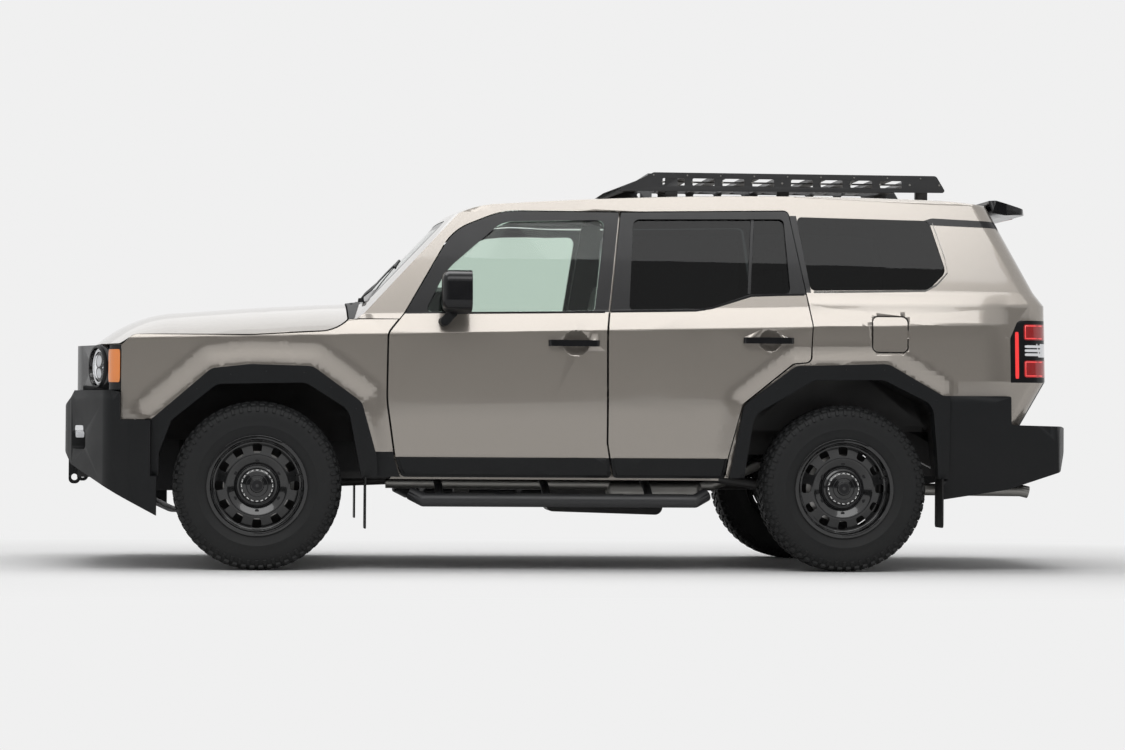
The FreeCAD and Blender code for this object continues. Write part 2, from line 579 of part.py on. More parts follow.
# ---- front bumper --------------------------------------------------------------------------------
BUMPER_SIDE = [(-890, 860), (-908, 828, 12), (FRONT, 790, 20), (FRONT, 560, 30), (-906, 500, 20), (-669, 363), (-475, 259, 10),
               (-455, 259), (-470, 560, 60), (-509, 700), (-509, 719), (LAMP_REAR_X, 719), (LAMP_REAR_X - 5, 852, 8), (-700, 860)]


def bumper_plan(inset):
    half = [(FRONT + inset + x, w - inset, r) for x, w, r in [(-5, 476, 400), (215, 930, 110), (330, 985, 60), (480, 985, 0)]]
    return prism_z(half + [(x, -w, r) for x, w, r in reversed(half)], 100, 1000)


bumper = bumper_plan(0).cut(bumper_plan(70)).common(prism_y(BUMPER_SIDE, *SIDE_TO_SIDE))
shelf = bumper_plan(0).common(prism_y([(-880, 800), (-908, 828, 12), (-890, 860), (-700, 860), (LAMP_REAR_X - 5, 852, 8), (LAMP_REAR_X, 800)], *SIDE_TO_SIDE))
shelf = shelf.cut(prism_z([(-790, 620), (-640, 760), (-640, -760), (-790, -620)], 700, 900))
bumper = bumper.fuse(shelf)
bumper = bumper.cut(prism_x([(-330, 560, 30), (330, 560, 30), (360, 690, 30), (-360, 690, 30)], -1100, -700))
for y in (-1, 1):
    bumper = bumper.cut(prism_x([(y * 640 - 75, 575, 18), (y * 640 + 75, 575, 18), (y * 640 + 75, 665, 18), (y * 640 - 75, 665, 18)], -1000, -800))
bumper = bumper.cut(arch_front_hole.fuse(mirrored(arch_front_hole)))
bumper = bumper.cut(box(-509, -300, 700, 1100, 449, 900)).cut(box(-509, -300, -1100, -700, 449, 900))
TOW_X, TOW_Z, TOW_R = FRONT + 42, 434.0, 16.0
bumper = max(bumper.Solids, key=lambda q: q.Volume)
for y in (-RAIL_Y, RAIL_Y):
    horn = prism_y([(TOW_X - 28, TOW_Z - 32, 24), (TOW_X - 28, 520), (TOW_X + 28, 540), (TOW_X + 28, TOW_Z - 32, 24)], y - 12, y + 12)
    bumper = bumper.fuse(horn).cut(rod((TOW_X, y - 40, TOW_Z), (TOW_X, y + 40, TOW_Z), TOW_R))
write("front_bumper", bumper)
SKID = [(-652, 457), (-640, 457), (-632, 372, 20), (-428, 274, 60), (160, 262), (163, 250), (-430, 262, 60), (-650, 362, 30)]
skid = prism_y(SKID, -330, 330).cut(prism_z([(-300, -180, 20), (-100, -180, 20), (-100, 180, 20), (-300, 180, 20)], 200, 400))
skid = skid.fuse(box(152, 164, -426, 426, 252, 335))
write("skid_plate", skid)


# ---- rear panels ---------------------------------------------------------------------------------
TAILGATE_T = 62.0
TAIL_WINDOW = [(-585, 1400, 45), (585, 1400, 45), (560, 1742, 60), (-560, 1742, 60)]


def inside_gap(points, gap):
    f = face_yz(points, 0)
    g = f.makeOffset2D(-gap, 2)
    g = g if g.Faces else Part.Face(g.Wires[0])
    return g.extrude(Vector(6000, 0, 0))


hatch = cabin_outer.cut(flanks(30).common(tail(TAILGATE_T)).common(roof(TAILGATE_T)))
hatch = hatch.common(inside_gap(TAILGATE, GAP)).common(box(HATCH_X + GAP, 5000, -1000, 1000, 700, 1900))
tail_window_hole = prism_x(TAIL_WINDOW, RA + 600, RA + 1300)
tailgate = hatch.cut(tail_window_hole)
plate_bay = prism_x([(-270, 985, 20), (270, 985, 20), (270, 1115, 20), (-270, 1115, 20)], RA + 1048, RA + 1300)
tailgate = tailgate.cut(plate_bay)
grip = soft_box(RA + 1035, RA + 1098, -150, 150, 1128, 1156, 8)
tailgate = tailgate.fuse(grip)
tailgate = max(tailgate.Solids, key=lambda q: q.Volume)
write("tailgate", tailgate)
write("tailgate_glass", tail(10).cut(tail(10 + GLASS)).common(cabin_outer).common(grown_x(TAIL_WINDOW, -SEAT, RA + 600, RA + 1300)))
SPOILER = [(HATCH_X + GAP, 1840, 4), (HATCH_X + 60, 1852, 40), (RA + 1080, 1842, 20), (RA + 1094, 1822, 8), (RA + 1060, 1800, 30),
           (RA + 900, 1772, 30), (RA + 800, 1780)]
spoiler = prism_y(SPOILER, -640, 640).cut(cabin_skin)
spoiler = spoiler.common(prism_z([(RA, -638), (RA + 900, -638), (RA + 1020, -610, 60), (RA + 1100, -380, 200), (RA + 1100, 380, 200),
                                  (RA + 1020, 610, 60), (RA + 900, 638), (RA, 638)], 1700, 1900))
write("rear_spoiler", max(spoiler.Solids, key=lambda q: q.Volume))

lamp_body = cabin_outer.cut(flanks(58).common(tail(58, 50))).common(tail_lamp_space)
lamp_body = max(lamp_body.Solids, key=lambda q: q.Volume)
write("tail_lights", both(lamp_body))

BUMPER_BACK = BACK - RA
REAR_SIDE = [(486, 862), (826, 862, 10), (830, 722, 10), (BUMPER_BACK - 84, 716), (BUMPER_BACK - 6, 704, 8), (BUMPER_BACK, 640, 20),
             (BUMPER_BACK - 92, 497, 20), (820, 405), (486, 353)]


def rear_plan(inset):
    half = [(BACK - inset, 560, 900), (BACK - 130 - inset * 0.8, 952 - inset, 130), (RA, 1000 - inset, 0)]
    return prism_z(half + [(x, -w, r) for x, w, r in reversed(half)], 100, 1000)


side_profile = prism_y(at_rear(REAR_SIDE), *SIDE_TO_SIDE)
rear_outer = rear_plan(0).common(flanks(-26)).common(side_profile)
rear_bumper = rear_outer.cut(rear_plan(55).common(flanks(28)).common(box(0, 5000, -1100, 1100, 0, 690)))
rear_bumper = rear_bumper.cut(cabin_skin).cut(box(0, RA + 900, -890, 890, 300, 1000)).cut(arch_rear_hole).cut(mirrored(arch_rear_hole))
rear_bumper = rear_bumper.cut(rear_flare).cut(mirrored(rear_flare)).cut(box(0, RA + 520, -1100, 1100, 455, 1100))
rear_bumper = rear_bumper.cut(prism_x([(-130, 440, 20), (130, 440, 20), (130, 560, 20), (-130, 560, 20)], RA + 900, BACK + 10))
rear_bumper = rear_bumper.cut(box(0, RA + 488 + SEAT, -1100, 1100, 0, 500))
write("rear_bumper", max(rear_bumper.Solids, key=lambda q: q.Volume))

write("fuel_flap", mirrored(right_flank(0).cut(right_flank(FLAP_T)).common(grown(flap_outline, 0, 500, 1100))))

# ---- roof rack -----------------------------------------------------------------------------------
RACK_X0, RACK_X1 = 1760.0, RA + 570
rack_side = prism_y([(RACK_X0, RACK_Z - 94), (RACK_X0 + 190, RACK_Z, 20), (RACK_X1 - 46, RACK_Z, 20), (RACK_X1, RACK_Z - 76, 10), (RACK_X1 - 12, RACK_Z - 84)],
                    RACK_HALF - 6, RACK_HALF)
for i in range(8):
    x = RACK_X0 + 235 + i * 150 + (45 if i > 3 else 0)
    rack_side = rack_side.cut(prism_y([(x, RACK_Z - 66, 8), (x + 110, RACK_Z - 66, 8), (x + 110, RACK_Z - 28, 8), (x, RACK_Z - 28, 8)], 500, 600))
rack = [rack_side, mirrored(rack_side)]
for i in range(9):
    x = RACK_X0 + 190 + i * 168
    rack.append(box(x - 30, x + 30, -RACK_HALF + 3, RACK_HALF - 3, RACK_Z - 26, RACK_Z - 6))
for y in (-280, 0, 280):
    rack.append(box(RACK_X0 + 190, RACK_X1 - 100, y - 20, y + 20, RACK_Z - 30, RACK_Z - 24))
deflector = prism_y([(RACK_X0 - 62, RACK_Z - 108), (RACK_X0 - 56, RACK_Z - 108), (RACK_X0 + 200, RACK_Z - 12), (RACK_X0 + 196, RACK_Z - 6)], -RACK_HALF + 3, RACK_HALF - 3)
rack.append(deflector)
for x in (RACK_X0 + 250, (RACK_X0 + RACK_X1) / 2 - 20, RACK_X1 - 150):
    for y in (-RACK_HALF + 3, RACK_HALF - 33):
        rack.append(box(x, x + 60, y, y + 30, 1700, RACK_Z - 26))
rack = rack[0].fuse(rack[1:]).cut(roof(-SEAT))
write("roof_rack", max(rack.Solids, key=lambda q: q.Volume))

# ---- frame, axles and drive ----------------------------------------------------------------------
RAIL_TOP = FLOOR_Z
RAIL_END = RA + 1040.0


def rail_side(inset):
    z0, z1 = RAIL_TOP - RAIL_H + inset, RAIL_TOP - inset
    top = [(FRONT + 60 + inset, z1), (RA - 650, z1, 120), (RA - 430, z1 + KICK, 120), (RA + 420, z1 + KICK, 120), (RA + 640, z1 + 15, 120), (RAIL_END - inset, z1 + 15)]
    return [(x, z - (z1 - z0), *r) for x, z, *r in top] + list(reversed(top))


rails = []
for y in (-RAIL_Y, RAIL_Y):
    rails.append(prism_y(rail_side(0), y - RAIL_W / 2, y + RAIL_W / 2).cut(prism_y(rail_side(5), y - RAIL_W / 2 + 5, y + RAIL_W / 2 - 5)))
CROSS = [(-640, 0), (1250, 0), (1700, 0), (RA - 700, 0), (RA - 330, KICK), (RA + 350, KICK), (RA + 990, 15)]   # x, rise
for x, rise in CROSS:
    z = RAIL_TOP - RAIL_H / 2 + rise
    rails.append(rod((x, -RAIL_Y + RAIL_W / 2 - 2, z), (x, RAIL_Y - RAIL_W / 2 + 2, z), 38))
ARM_Y = RAIL_Y + RAIL_W / 2
PIN_Y = TRACK_HALF - KINGPIN_IN
LOW_PIN, HIGH_PIN = 262.0, 548.0
BALL_R = 20.0
COIL_X = 56.0
for s in (-1, 1):
    for x in (-190, 190):
        rails.append(box(x - 30, x + 30, *sorted((s * (ARM_Y - 4), s * (ARM_Y + 26))), 320, 470))
    rails.append(box(COIL_X - 60, COIL_X + 60, *sorted((s * (ARM_Y - 6), s * (ARM_Y + 110))), 700, 712).fuse(
        box(COIL_X - 60, COIL_X + 60, *sorted((s * (ARM_Y - 6), s * (ARM_Y + 4))), RAIL_TOP - 40, 712)))
    rails.append(box(-125, -75, *sorted((s * (ARM_Y - 6), s * (ARM_Y + 20))), RAIL_TOP - 40, HIGH_PIN + 90))
    rails.append(box(COIL_X + 70, COIL_X + 120, *sorted((s * (ARM_Y - 6), s * (ARM_Y + 20))), RAIL_TOP - 40, HIGH_PIN + 90))
HITCH_X, HITCH_Z, HITCH_PIN_R = RA + 1112, RAIL_TOP - RAIL_H / 2 - 18, 8.0
hitch = box(RA + 960, RA + 1150, -32, 32, HITCH_Z - 32, HITCH_Z + 32)
bore = box(RA + 1040, RA + 1160, -25.4, 25.4, HITCH_Z - 25.4, HITCH_Z + 25.4)
frame_body = joined(rails + [hitch]).cut(bore).cut(rod((HITCH_X, -60, HITCH_Z), (HITCH_X, 60, HITCH_Z), HITCH_PIN_R))
frame_body = frame_body.cut(bumper)
frame_body = max(frame_body.Solids, key=lambda q: q.Volume)
write("ladder_frame", frame_body)

arms = []
ARM_R = 16.0
for s in (-1, 1):
    one = []
    for x in (-1, 1):
        one.append(bent_rod([(x * 190, s * (ARM_Y + 40), 352), (x * 40, s * (PIN_Y - 55), LOW_PIN + 4), (0, s * PIN_Y, LOW_PIN)], ARM_R))
        one.append(rod((x * 225, s * (ARM_Y + 44), 352), (x * 155, s * (ARM_Y + 44), 352), 28))
    top_z = HIGH_PIN + BALL_R + SEAT
    for x in (-100, COIL_X + 95):
        one.append(bent_rod([(x, s * (ARM_Y + 32), HIGH_PIN + 66), (x * 0.35, s * (PIN_Y - 60), top_z + 6), (0, s * PIN_Y, top_z)], ARM_R))
    one.append(Part.makeSphere(BALL_R, Vector(0, s * PIN_Y, LOW_PIN)))
    one.append(Part.makeSphere(BALL_R, Vector(0, s * PIN_Y, top_z)))
    one.append(rod((-150, s * (ARM_Y + 88), 336), (150, s * (ARM_Y + 88), 336), 14))
    one.append(rod((COIL_X, s * (ARM_Y + 88), 330), (COIL_X, s * (ARM_Y + 66), 480), 26))
    one.append(rod((COIL_X, s * (ARM_Y + 69), 462), (COIL_X, s * (ARM_Y + 60), 716), 44))
    arms.append(joined(one).cut(frame_body).cut(box(-300, 300, -700, 700, 712, 800)))
front_arms = Part.makeCompound([max(a.Solids, key=lambda q: q.Volume) for a in arms])
write("front_suspension", front_arms)

CALIPER = [(96, TYRE_R - 62, 20), (176, TYRE_R - 66, 20), (180, TYRE_R + 60, 30), (98, TYRE_R + 60, 20)]
knuckle = joined([
    rod((0, PIN_Y, LOW_PIN + BALL_R + SEAT), (0, PIN_Y, HIGH_PIN), 24),
    rod((0, PIN_Y - 10, TYRE_R), (0, TRACK_HALF - 21 - SEAT, TYRE_R), 52),
    box(20, 120, PIN_Y - 12, PIN_Y + 12, TYRE_R - 28, TYRE_R + 28),
    bent_rod([(20, PIN_Y, LOW_PIN + 50), (150, PIN_Y - 35, LOW_PIN + 60)], 15),
    prism_y(CALIPER, PIN_Y - 12, PIN_Y + 88).cut(
        rod((0, PIN_Y + 30, TYRE_R), (0, PIN_Y + 62, TYRE_R), DISC_R + 6)),
])
write("knuckle_right", knuckle)
write("knuckle_left", mirrored(knuckle))

axle = joined([rod((RA, -TRACK_HALF + 21 + SEAT, TYRE_R), (RA, TRACK_HALF - 21 - SEAT, TYRE_R), 42), Part.makeSphere(140, Vector(RA, 0, TYRE_R)),
               rod((RA - 210, 0, TYRE_R + 10), (RA, 0, TYRE_R + 10), 70)] +
              [box(RA - 60, RA + 60, *sorted((s * 560, s * 640)), TYRE_R - 60, TYRE_R + 60) for s in (-1, 1)] +
              [prism_y(at_rear(CALIPER),
                       *sorted((s * (PIN_Y - 12), s * (PIN_Y + 88)))).cut(
                  rod((RA, s * (PIN_Y + 30), TYRE_R), (RA, s * (PIN_Y + 62), TYRE_R), DISC_R + 6)) for s in (-1, 1)] +
              [box(RA + 20, RA + 120, *sorted((s * (PIN_Y - 12), s * (PIN_Y + 12))), TYRE_R - 28, TYRE_R + 28) for s in (-1, 1)] +
              [rod((RA, s * 495, TYRE_R + 10), (RA, s * 495, TYRE_R + 42), 66) for s in (-1, 1)] +
              [rod((RA - 10, s * 560, TYRE_R - 40), (RA - 800, s * (RAIL_Y + RAIL_W / 2 + 24 + SEAT), 480), 24) for s in (-1, 1)])
write("rear_axle", axle)

springs = []
COIL_R, COIL_WIRE = 52.0, 8.0
for s in (-1, 1):
    z0, z1 = TYRE_R + 42 + COIL_WIRE, FLOOR_Z + KICK - COIL_WIRE
    coil = Part.makeHelix(38, z1 - z0, COIL_R)
    wire = Part.Wire([Part.makeCircle(COIL_WIRE, Vector(COIL_R, 0, 0), Vector(0, 1, 0.1))])
    tube = Part.Wire(coil.Edges).makePipeShell([wire], True, True)
    tube.translate(Vector(RA, s * 495, z0))
    springs.append(tube)
write("rear_springs", Part.makeCompound(springs))

engine = box(-540, 310, -240, 240, 500, 980)
gearbox = prism_y([(310, 445), (310, 550), (1080, 550), (1080, 445)], -130, 130)
transfer = rod((1000, 60, 420), (1080, 60, 420), 62).fuse(rod((900, -190, 440), (1010, -190, 440), 48)).fuse(box(900, 1010, -190, -120, 450, 540))
engine = joined([engine, gearbox, transfer])
write("engine_block", engine)
prop = rod((1080 + SEAT, 60, 402), (RA - 210, 0, TYRE_R + 6), 30)
front_drive = joined([rod((-20, -70, 400), (-20, 150, 400), 82), rod((0, -PIN_Y + 48, 400), (0, PIN_Y - 48, 400), 20),
                      rod((60, -60, 398), (900 - SEAT, -190, 436), 24)])
shafts = [max(piece.cut(axle).cut(engine).Solids, key=lambda q: q.Volume) for piece in (prop, front_drive)]
write("drive_shafts", Part.makeCompound(shafts))
exhaust = joined([bent_rod([(640, -285, 415), (RA - 560, -285, 410), (RA - 330, -285, 515), (RA + 170, -285, 515), (RA + 300, -285, 400),
                            (RA + 420, -560, 398), (RA + 960, -560, 395), (RA + 999, -560, 386)], 30),
                  soft_box(1750, 2240, -332, -215, 335, 435, 40)] +
                 [rod((x, -290, z), (x, -RAIL_Y + RAIL_W / 2 + 2, z + 24), 8) for x, z in ((1300, 430), (RA + 60, 530))]).cut(frame_body)
exhaust = max(exhaust.Solids, key=lambda q: q.Volume)
write("exhaust", exhaust)
tank = prism_y([(1480, 262, 40), (2080, 245, 40), (2110, 430, 40), (1480, 430, 40)], 105, RAIL_Y - RAIL_W / 2)
tank = tank.fuse(box(1560, 2000, RAIL_Y - RAIL_W / 2 - 20, RAIL_Y - RAIL_W / 2, 400, 500))
write("fuel_tank", max(tank.cut(frame_body).Solids, key=lambda q: q.Volume))

# ---- steps, mud flaps ----------------------------------------------------------------------------
STEP_Z, STEP_Y = 341.0, 905.0
step = bent_rod([(709 + 32, STEP_Y - 40, STEP_Z + 30), (800, STEP_Y, STEP_Z), (2120, STEP_Y, STEP_Z), (2211 - 32, STEP_Y - 40, STEP_Z + 30)], 32)
step = joined([step] + [bent_rod([(x, RAIL_Y + RAIL_W / 2 - 2, 480), (x, STEP_Y - 130, 400), (x, STEP_Y, STEP_Z)], 20) for x in (880, 1400, 1900)])
step = step.cut(frame_body)
write("side_steps", both(max(step.Solids, key=lambda q: q.Volume)))
flap = prism_x([(790, 203, 20), (975, 203, 20), (965, 452), (800, 452)], 514, 522)
rear_flap = prism_x([(780, 217, 20), (955, 217, 20), (955, 455), (780, 455)], RA + 480, RA + 488)
write("mud_flaps", Part.makeCompound([flap, mirrored(flap), rear_flap, mirrored(rear_flap)]))

# ---- wheels --------------------------------------------------------------------------------------
RIM_OUT, RIM_IN = 112.0, -112.0
tyre_half = TYRE_W / 2
TYRE_SECTION = [(RIM_R, -102.5), (RIM_R, 102.5), (RIM_R + 14, 104.6), (RIM_R + 21, 105, 6), (RIM_R + 40, 116, 20), (320, tyre_half, 50), (378, 113, 25), (TYRE_R, 88, 12),
                (TYRE_R, -88, 12), (378, -113, 25), (320, -tyre_half, 50), (RIM_R + 40, -116, 20), (RIM_R + 21, -105, 6), (RIM_R + 14, -104.6)]
tyre = turned(TYRE_SECTION)
RIM_SECTION = [(RIM_R, -103), (RIM_R + RIM_FLANGE, -105, 3), (RIM_R + RIM_FLANGE, -112, 3), (RIM_R - 3, -112, 3), (RIM_R - 8, -98, 10), (RIM_R - 24, -60, 20),
               (RIM_R - 24, 20, 20), (RIM_R - 22, 40), (150, 62, 20), (108, 44, 20), (40, 38), (40, 50), (104, 56, 20), (146, 76, 20),
               (RIM_R - 16, 56, 10), (RIM_R - 8, 98, 10), (RIM_R - 3, 112, 3), (RIM_R + RIM_FLANGE, 112, 3), (RIM_R + RIM_FLANGE, 105, 3), (RIM_R, 103),
               (RIM_R, 80, 5), (RIM_R - 14, 60, 20), (RIM_R - 14, -50, 20), (RIM_R, -85, 5)]
rim = turned(RIM_SECTION)
for i in range(SLOTS):
    a = math.radians(90 + 360 * i / SLOTS)
    slot = prism_y([(158, -19, 12), (203, -25, 14), (203, 25, 14), (158, 19, 12)], 0, 130)
    slot.rotate(Vector(0, 0, 0), Vector(0, 1, 0), math.degrees(a))
    rim = rim.cut(slot)
cap = turned([(0, 30), (0, 98, 0), (30, 98, 4), (34, 90, 3), (70, 84, 10), (98, 66, 8), (102, 50), (102, 48), (60, 34)])
disc = turned([(0, -21), (70, -21), (70, -44), (DISC_R, -44), (DISC_R, -30), (78, -30), (78, 47), (0, 47)])
rim = joined([rim, cap, disc])
WHEELS = [("front_left", 0, -1), ("front_right", 0, 1), ("rear_left", RA, -1), ("rear_right", RA, 1)]
for name, x, s in WHEELS:
    for piece, shape in (("tyre_", tyre), ("rim_", rim)):
        placed = moved(shape, x, TRACK_HALF, TYRE_R)
        write(piece + name, placed if s > 0 else mirrored(placed))

# ---- inside --------------------------------------------------------------------------------------
dash = prism_y([(640, 860), (640, 1215, 30), (760, 1240, 60), (930, 1205, 60), (985, 1120, 60), (940, 960, 60), (880, 860, 20)], -800, 800)
dash = dash.common(flanks(DOOR_LOW + 22, DOOR_FRAME + 30))
WHEEL_X, WHEEL_Y, WHEEL_Z, WHEEL_TILT = 1085.0, -385.0, 1085.0, 24.0
console = soft_box(900, 1900, -130, 130, FLOOR_Z + FLOOR_T, 850, 30).fuse(box(660, 935, -130, 130, FLOOR_Z + FLOOR_T, 900))
tilt = math.radians(WHEEL_TILT)
column_dir = Vector(-math.cos(tilt), 0, -math.sin(tilt))
wheel_c = Vector(WHEEL_X, WHEEL_Y, WHEEL_Z)
column = rod(wheel_c + column_dir * (22 + SEAT), wheel_c + column_dir * 230, 34)
write("dashboard", joined([dash, console, column]))
ring = Part.makeTorus(185, 15, Vector(0, 0, 0), Vector(1, 0, 0))
hub = Part.makeCylinder(62, 34, Vector(-22, 0, 0), Vector(1, 0, 0))
spokes = [rod((-4, 0, 0), (0, 180 * math.cos(a), 180 * math.sin(a)), 14) for a in (0, math.pi, -math.pi / 2)]
steering = joined([ring, hub] + spokes)
steering.rotate(Vector(0, 0, 0), Vector(0, 1, 0), -WHEEL_TILT)
steering.translate(wheel_c)
write("steering_wheel", steering)


def seat(x, y, width, base_l=380):
    base = box(x + 60, x + 60 + base_l, y - width / 2 + 60, y + width / 2 - 60, FLOOR_Z + FLOOR_T, FLOOR_Z + 235)
    cushion = soft_box(x, x + 500, y - width / 2, y + width / 2, FLOOR_Z + 230, FLOOR_Z + 375, 45)
    back = prism_y([(x + 430, FLOOR_Z + 300, 50), (x + 570, FLOOR_Z + 300, 50), (x + 720, FLOOR_Z + 900, 60), (x + 610, FLOOR_Z + 920, 50)],
                   y - width / 2, y + width / 2)
    head = soft_box(x + 640, x + 745, y - 130, y + 130, FLOOR_Z + 930, FLOOR_Z + 1090, 35)
    posts = [rod((x + 690, y + s * 60, FLOOR_Z + 860), (x + 695, y + s * 60, FLOOR_Z + 960), 7) for s in (-1, 1)]
    return joined([base, cushion, back, head] + posts)


write("front_seats", both(seat(1190, 385, 500)))
write("rear_bench", joined([seat(1950, y, 362, 145) for y in (-360, 0, 360)]))
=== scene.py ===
import json
import logging
import math
from dataclasses import dataclass
from enum import Enum
from typing import Callable, Dict, Iterable, List, Optional, Sequence, Tuple

import bmesh
import bpy
from mathutils import Matrix, Vector
from mathutils.bvhtree import BVHTree

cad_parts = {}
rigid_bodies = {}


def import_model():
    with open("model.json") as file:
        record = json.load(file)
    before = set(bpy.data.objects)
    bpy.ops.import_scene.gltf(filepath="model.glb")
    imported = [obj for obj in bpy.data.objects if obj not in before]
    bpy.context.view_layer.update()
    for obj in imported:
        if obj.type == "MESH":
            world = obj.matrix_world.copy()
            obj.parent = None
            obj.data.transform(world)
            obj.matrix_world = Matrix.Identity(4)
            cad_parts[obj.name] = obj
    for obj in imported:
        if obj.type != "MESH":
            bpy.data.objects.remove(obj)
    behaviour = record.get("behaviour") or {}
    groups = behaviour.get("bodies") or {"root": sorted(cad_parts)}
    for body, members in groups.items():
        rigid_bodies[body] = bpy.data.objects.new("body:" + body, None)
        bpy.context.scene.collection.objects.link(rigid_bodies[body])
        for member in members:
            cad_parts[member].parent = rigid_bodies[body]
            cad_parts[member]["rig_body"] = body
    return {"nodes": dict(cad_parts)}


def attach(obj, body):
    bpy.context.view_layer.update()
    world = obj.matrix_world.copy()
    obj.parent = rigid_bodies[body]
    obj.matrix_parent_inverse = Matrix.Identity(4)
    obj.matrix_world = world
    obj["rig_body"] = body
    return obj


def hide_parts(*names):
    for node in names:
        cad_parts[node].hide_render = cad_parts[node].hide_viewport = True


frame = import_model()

LOG = logging.getLogger("off_roader")
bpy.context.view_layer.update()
MM = 0.001
AXLE_X = -1.550
REAR_AXLE = 2850.0
RGB = Tuple[float, float, float]
XZ = Tuple[float, float]
MERGE = 0.00001           # points closer than this are one, in metres
ON_PLANE = 0.000001       # points closer than this to a cut lie on it, in metres
WAVE = 6.28               # one turn of a thread's or rib's wave
FAR_OUT = 1400.0          # outside the widest point, where side rays start, in millimetres
UPRIGHT = Matrix.Rotation(math.radians(90), 4, "X")
LAMP_CENTRE = (-770.0, 735.0, 973.0)
LAMP_TOE = math.radians(24.5)


class Side(Enum):
    """The two sides of the car, by the sign of Y."""

    LEFT = -1
    RIGHT = 1

    @property
    def word(self) -> str:
        """Returns the side's name as the record writes it."""
        return self.name.lower()


class Axle(Enum):
    """The two axles, by their distance behind the front one in millimetres."""

    FRONT = 0.0
    REAR = REAR_AXLE

    @property
    def word(self) -> str:
        """Returns the axle's name as the record writes it."""
        return self.name.lower()


def at(x: float, y: float, z: float) -> Vector:
    """Turns workshop millimetres, counted from the front axle, into scene metres.

    Args:
        x: distance behind the front axle.
        y: distance to the car's right.
        z: height over the ground.

    Returns:
        The point in the frame's own metres.
    """
    return Vector((x * MM + AXLE_X, y * MM, z * MM))


def mm_of(p: Vector) -> Tuple[float, float, float]:
    """Turns a scene point back into workshop millimetres."""
    return (p.x - AXLE_X) / MM, p.y / MM, p.z / MM


# ---- shader groups ------------------------------------------------------------------------------
def new_group(name: str, inputs: Dict[str, float], outputs: Sequence[str]) -> bpy.types.NodeTree:
    """Makes an empty shader group with float inputs and outputs.

    Args:
        name: the group's name.
        inputs: socket names with their default values.
        outputs: names of the float outputs.

    Returns:
        The node tree, with its input and output nodes in place.
    """
    tree = bpy.data.node_groups.new(name, "ShaderNodeTree")
    for key, value in inputs.items():
        socket = tree.interface.new_socket(name=key, in_out="INPUT", socket_type="NodeSocketFloat")
        socket.default_value = value
    for key in outputs:
        tree.interface.new_socket(name=key, in_out="OUTPUT", socket_type="NodeSocketFloat")
    tree.nodes.new("NodeGroupInput").name = "in"
    tree.nodes.new("NodeGroupOutput").name = "out"
    return tree


def math_node(tree: bpy.types.NodeTree, operation: str, a: object, b: object = 0.0,
              clamp: bool = False) -> bpy.types.NodeSocket:
    """Adds a Math node whose two inputs are sockets or numbers.

    Args:
        tree: the tree that gets the node.
        operation: the Math node's operation.
        a: first input, a socket or a number.
        b: second input, a socket or a number.
        clamp: whether the result is kept between 0 and 1.

    Returns:
        The node's output socket.
    """
    node = tree.nodes.new("ShaderNodeMath")
    node.operation, node.use_clamp = operation, clamp
    for i, value in enumerate((a, b)):
        if isinstance(value, bpy.types.NodeSocket):
            tree.links.new(value, node.inputs[i])
        else:
            node.inputs[i].default_value = value
    return node.outputs[0]


def noise_node(tree: bpy.types.NodeTree, vector: bpy.types.NodeSocket, scale: object,
               detail: float = 2.0) -> bpy.types.NodeSocket:
    """Adds a Noise Texture read at a vector.

    Args:
        tree: the tree that gets the node.
        vector: the coordinates to read.
        scale: the noise's scale, a socket or a number.
        detail: octaves of the noise.

    Returns:
        The noise's value socket.
    """
    node = tree.nodes.new("ShaderNodeTexNoise")
    node.inputs["Detail"].default_value = detail
    tree.links.new(vector, node.inputs["Vector"])
    if isinstance(scale, bpy.types.NodeSocket):
        tree.links.new(scale, node.inputs["Scale"])
    else:
        node.inputs["Scale"].default_value = scale
    return node.outputs[0]


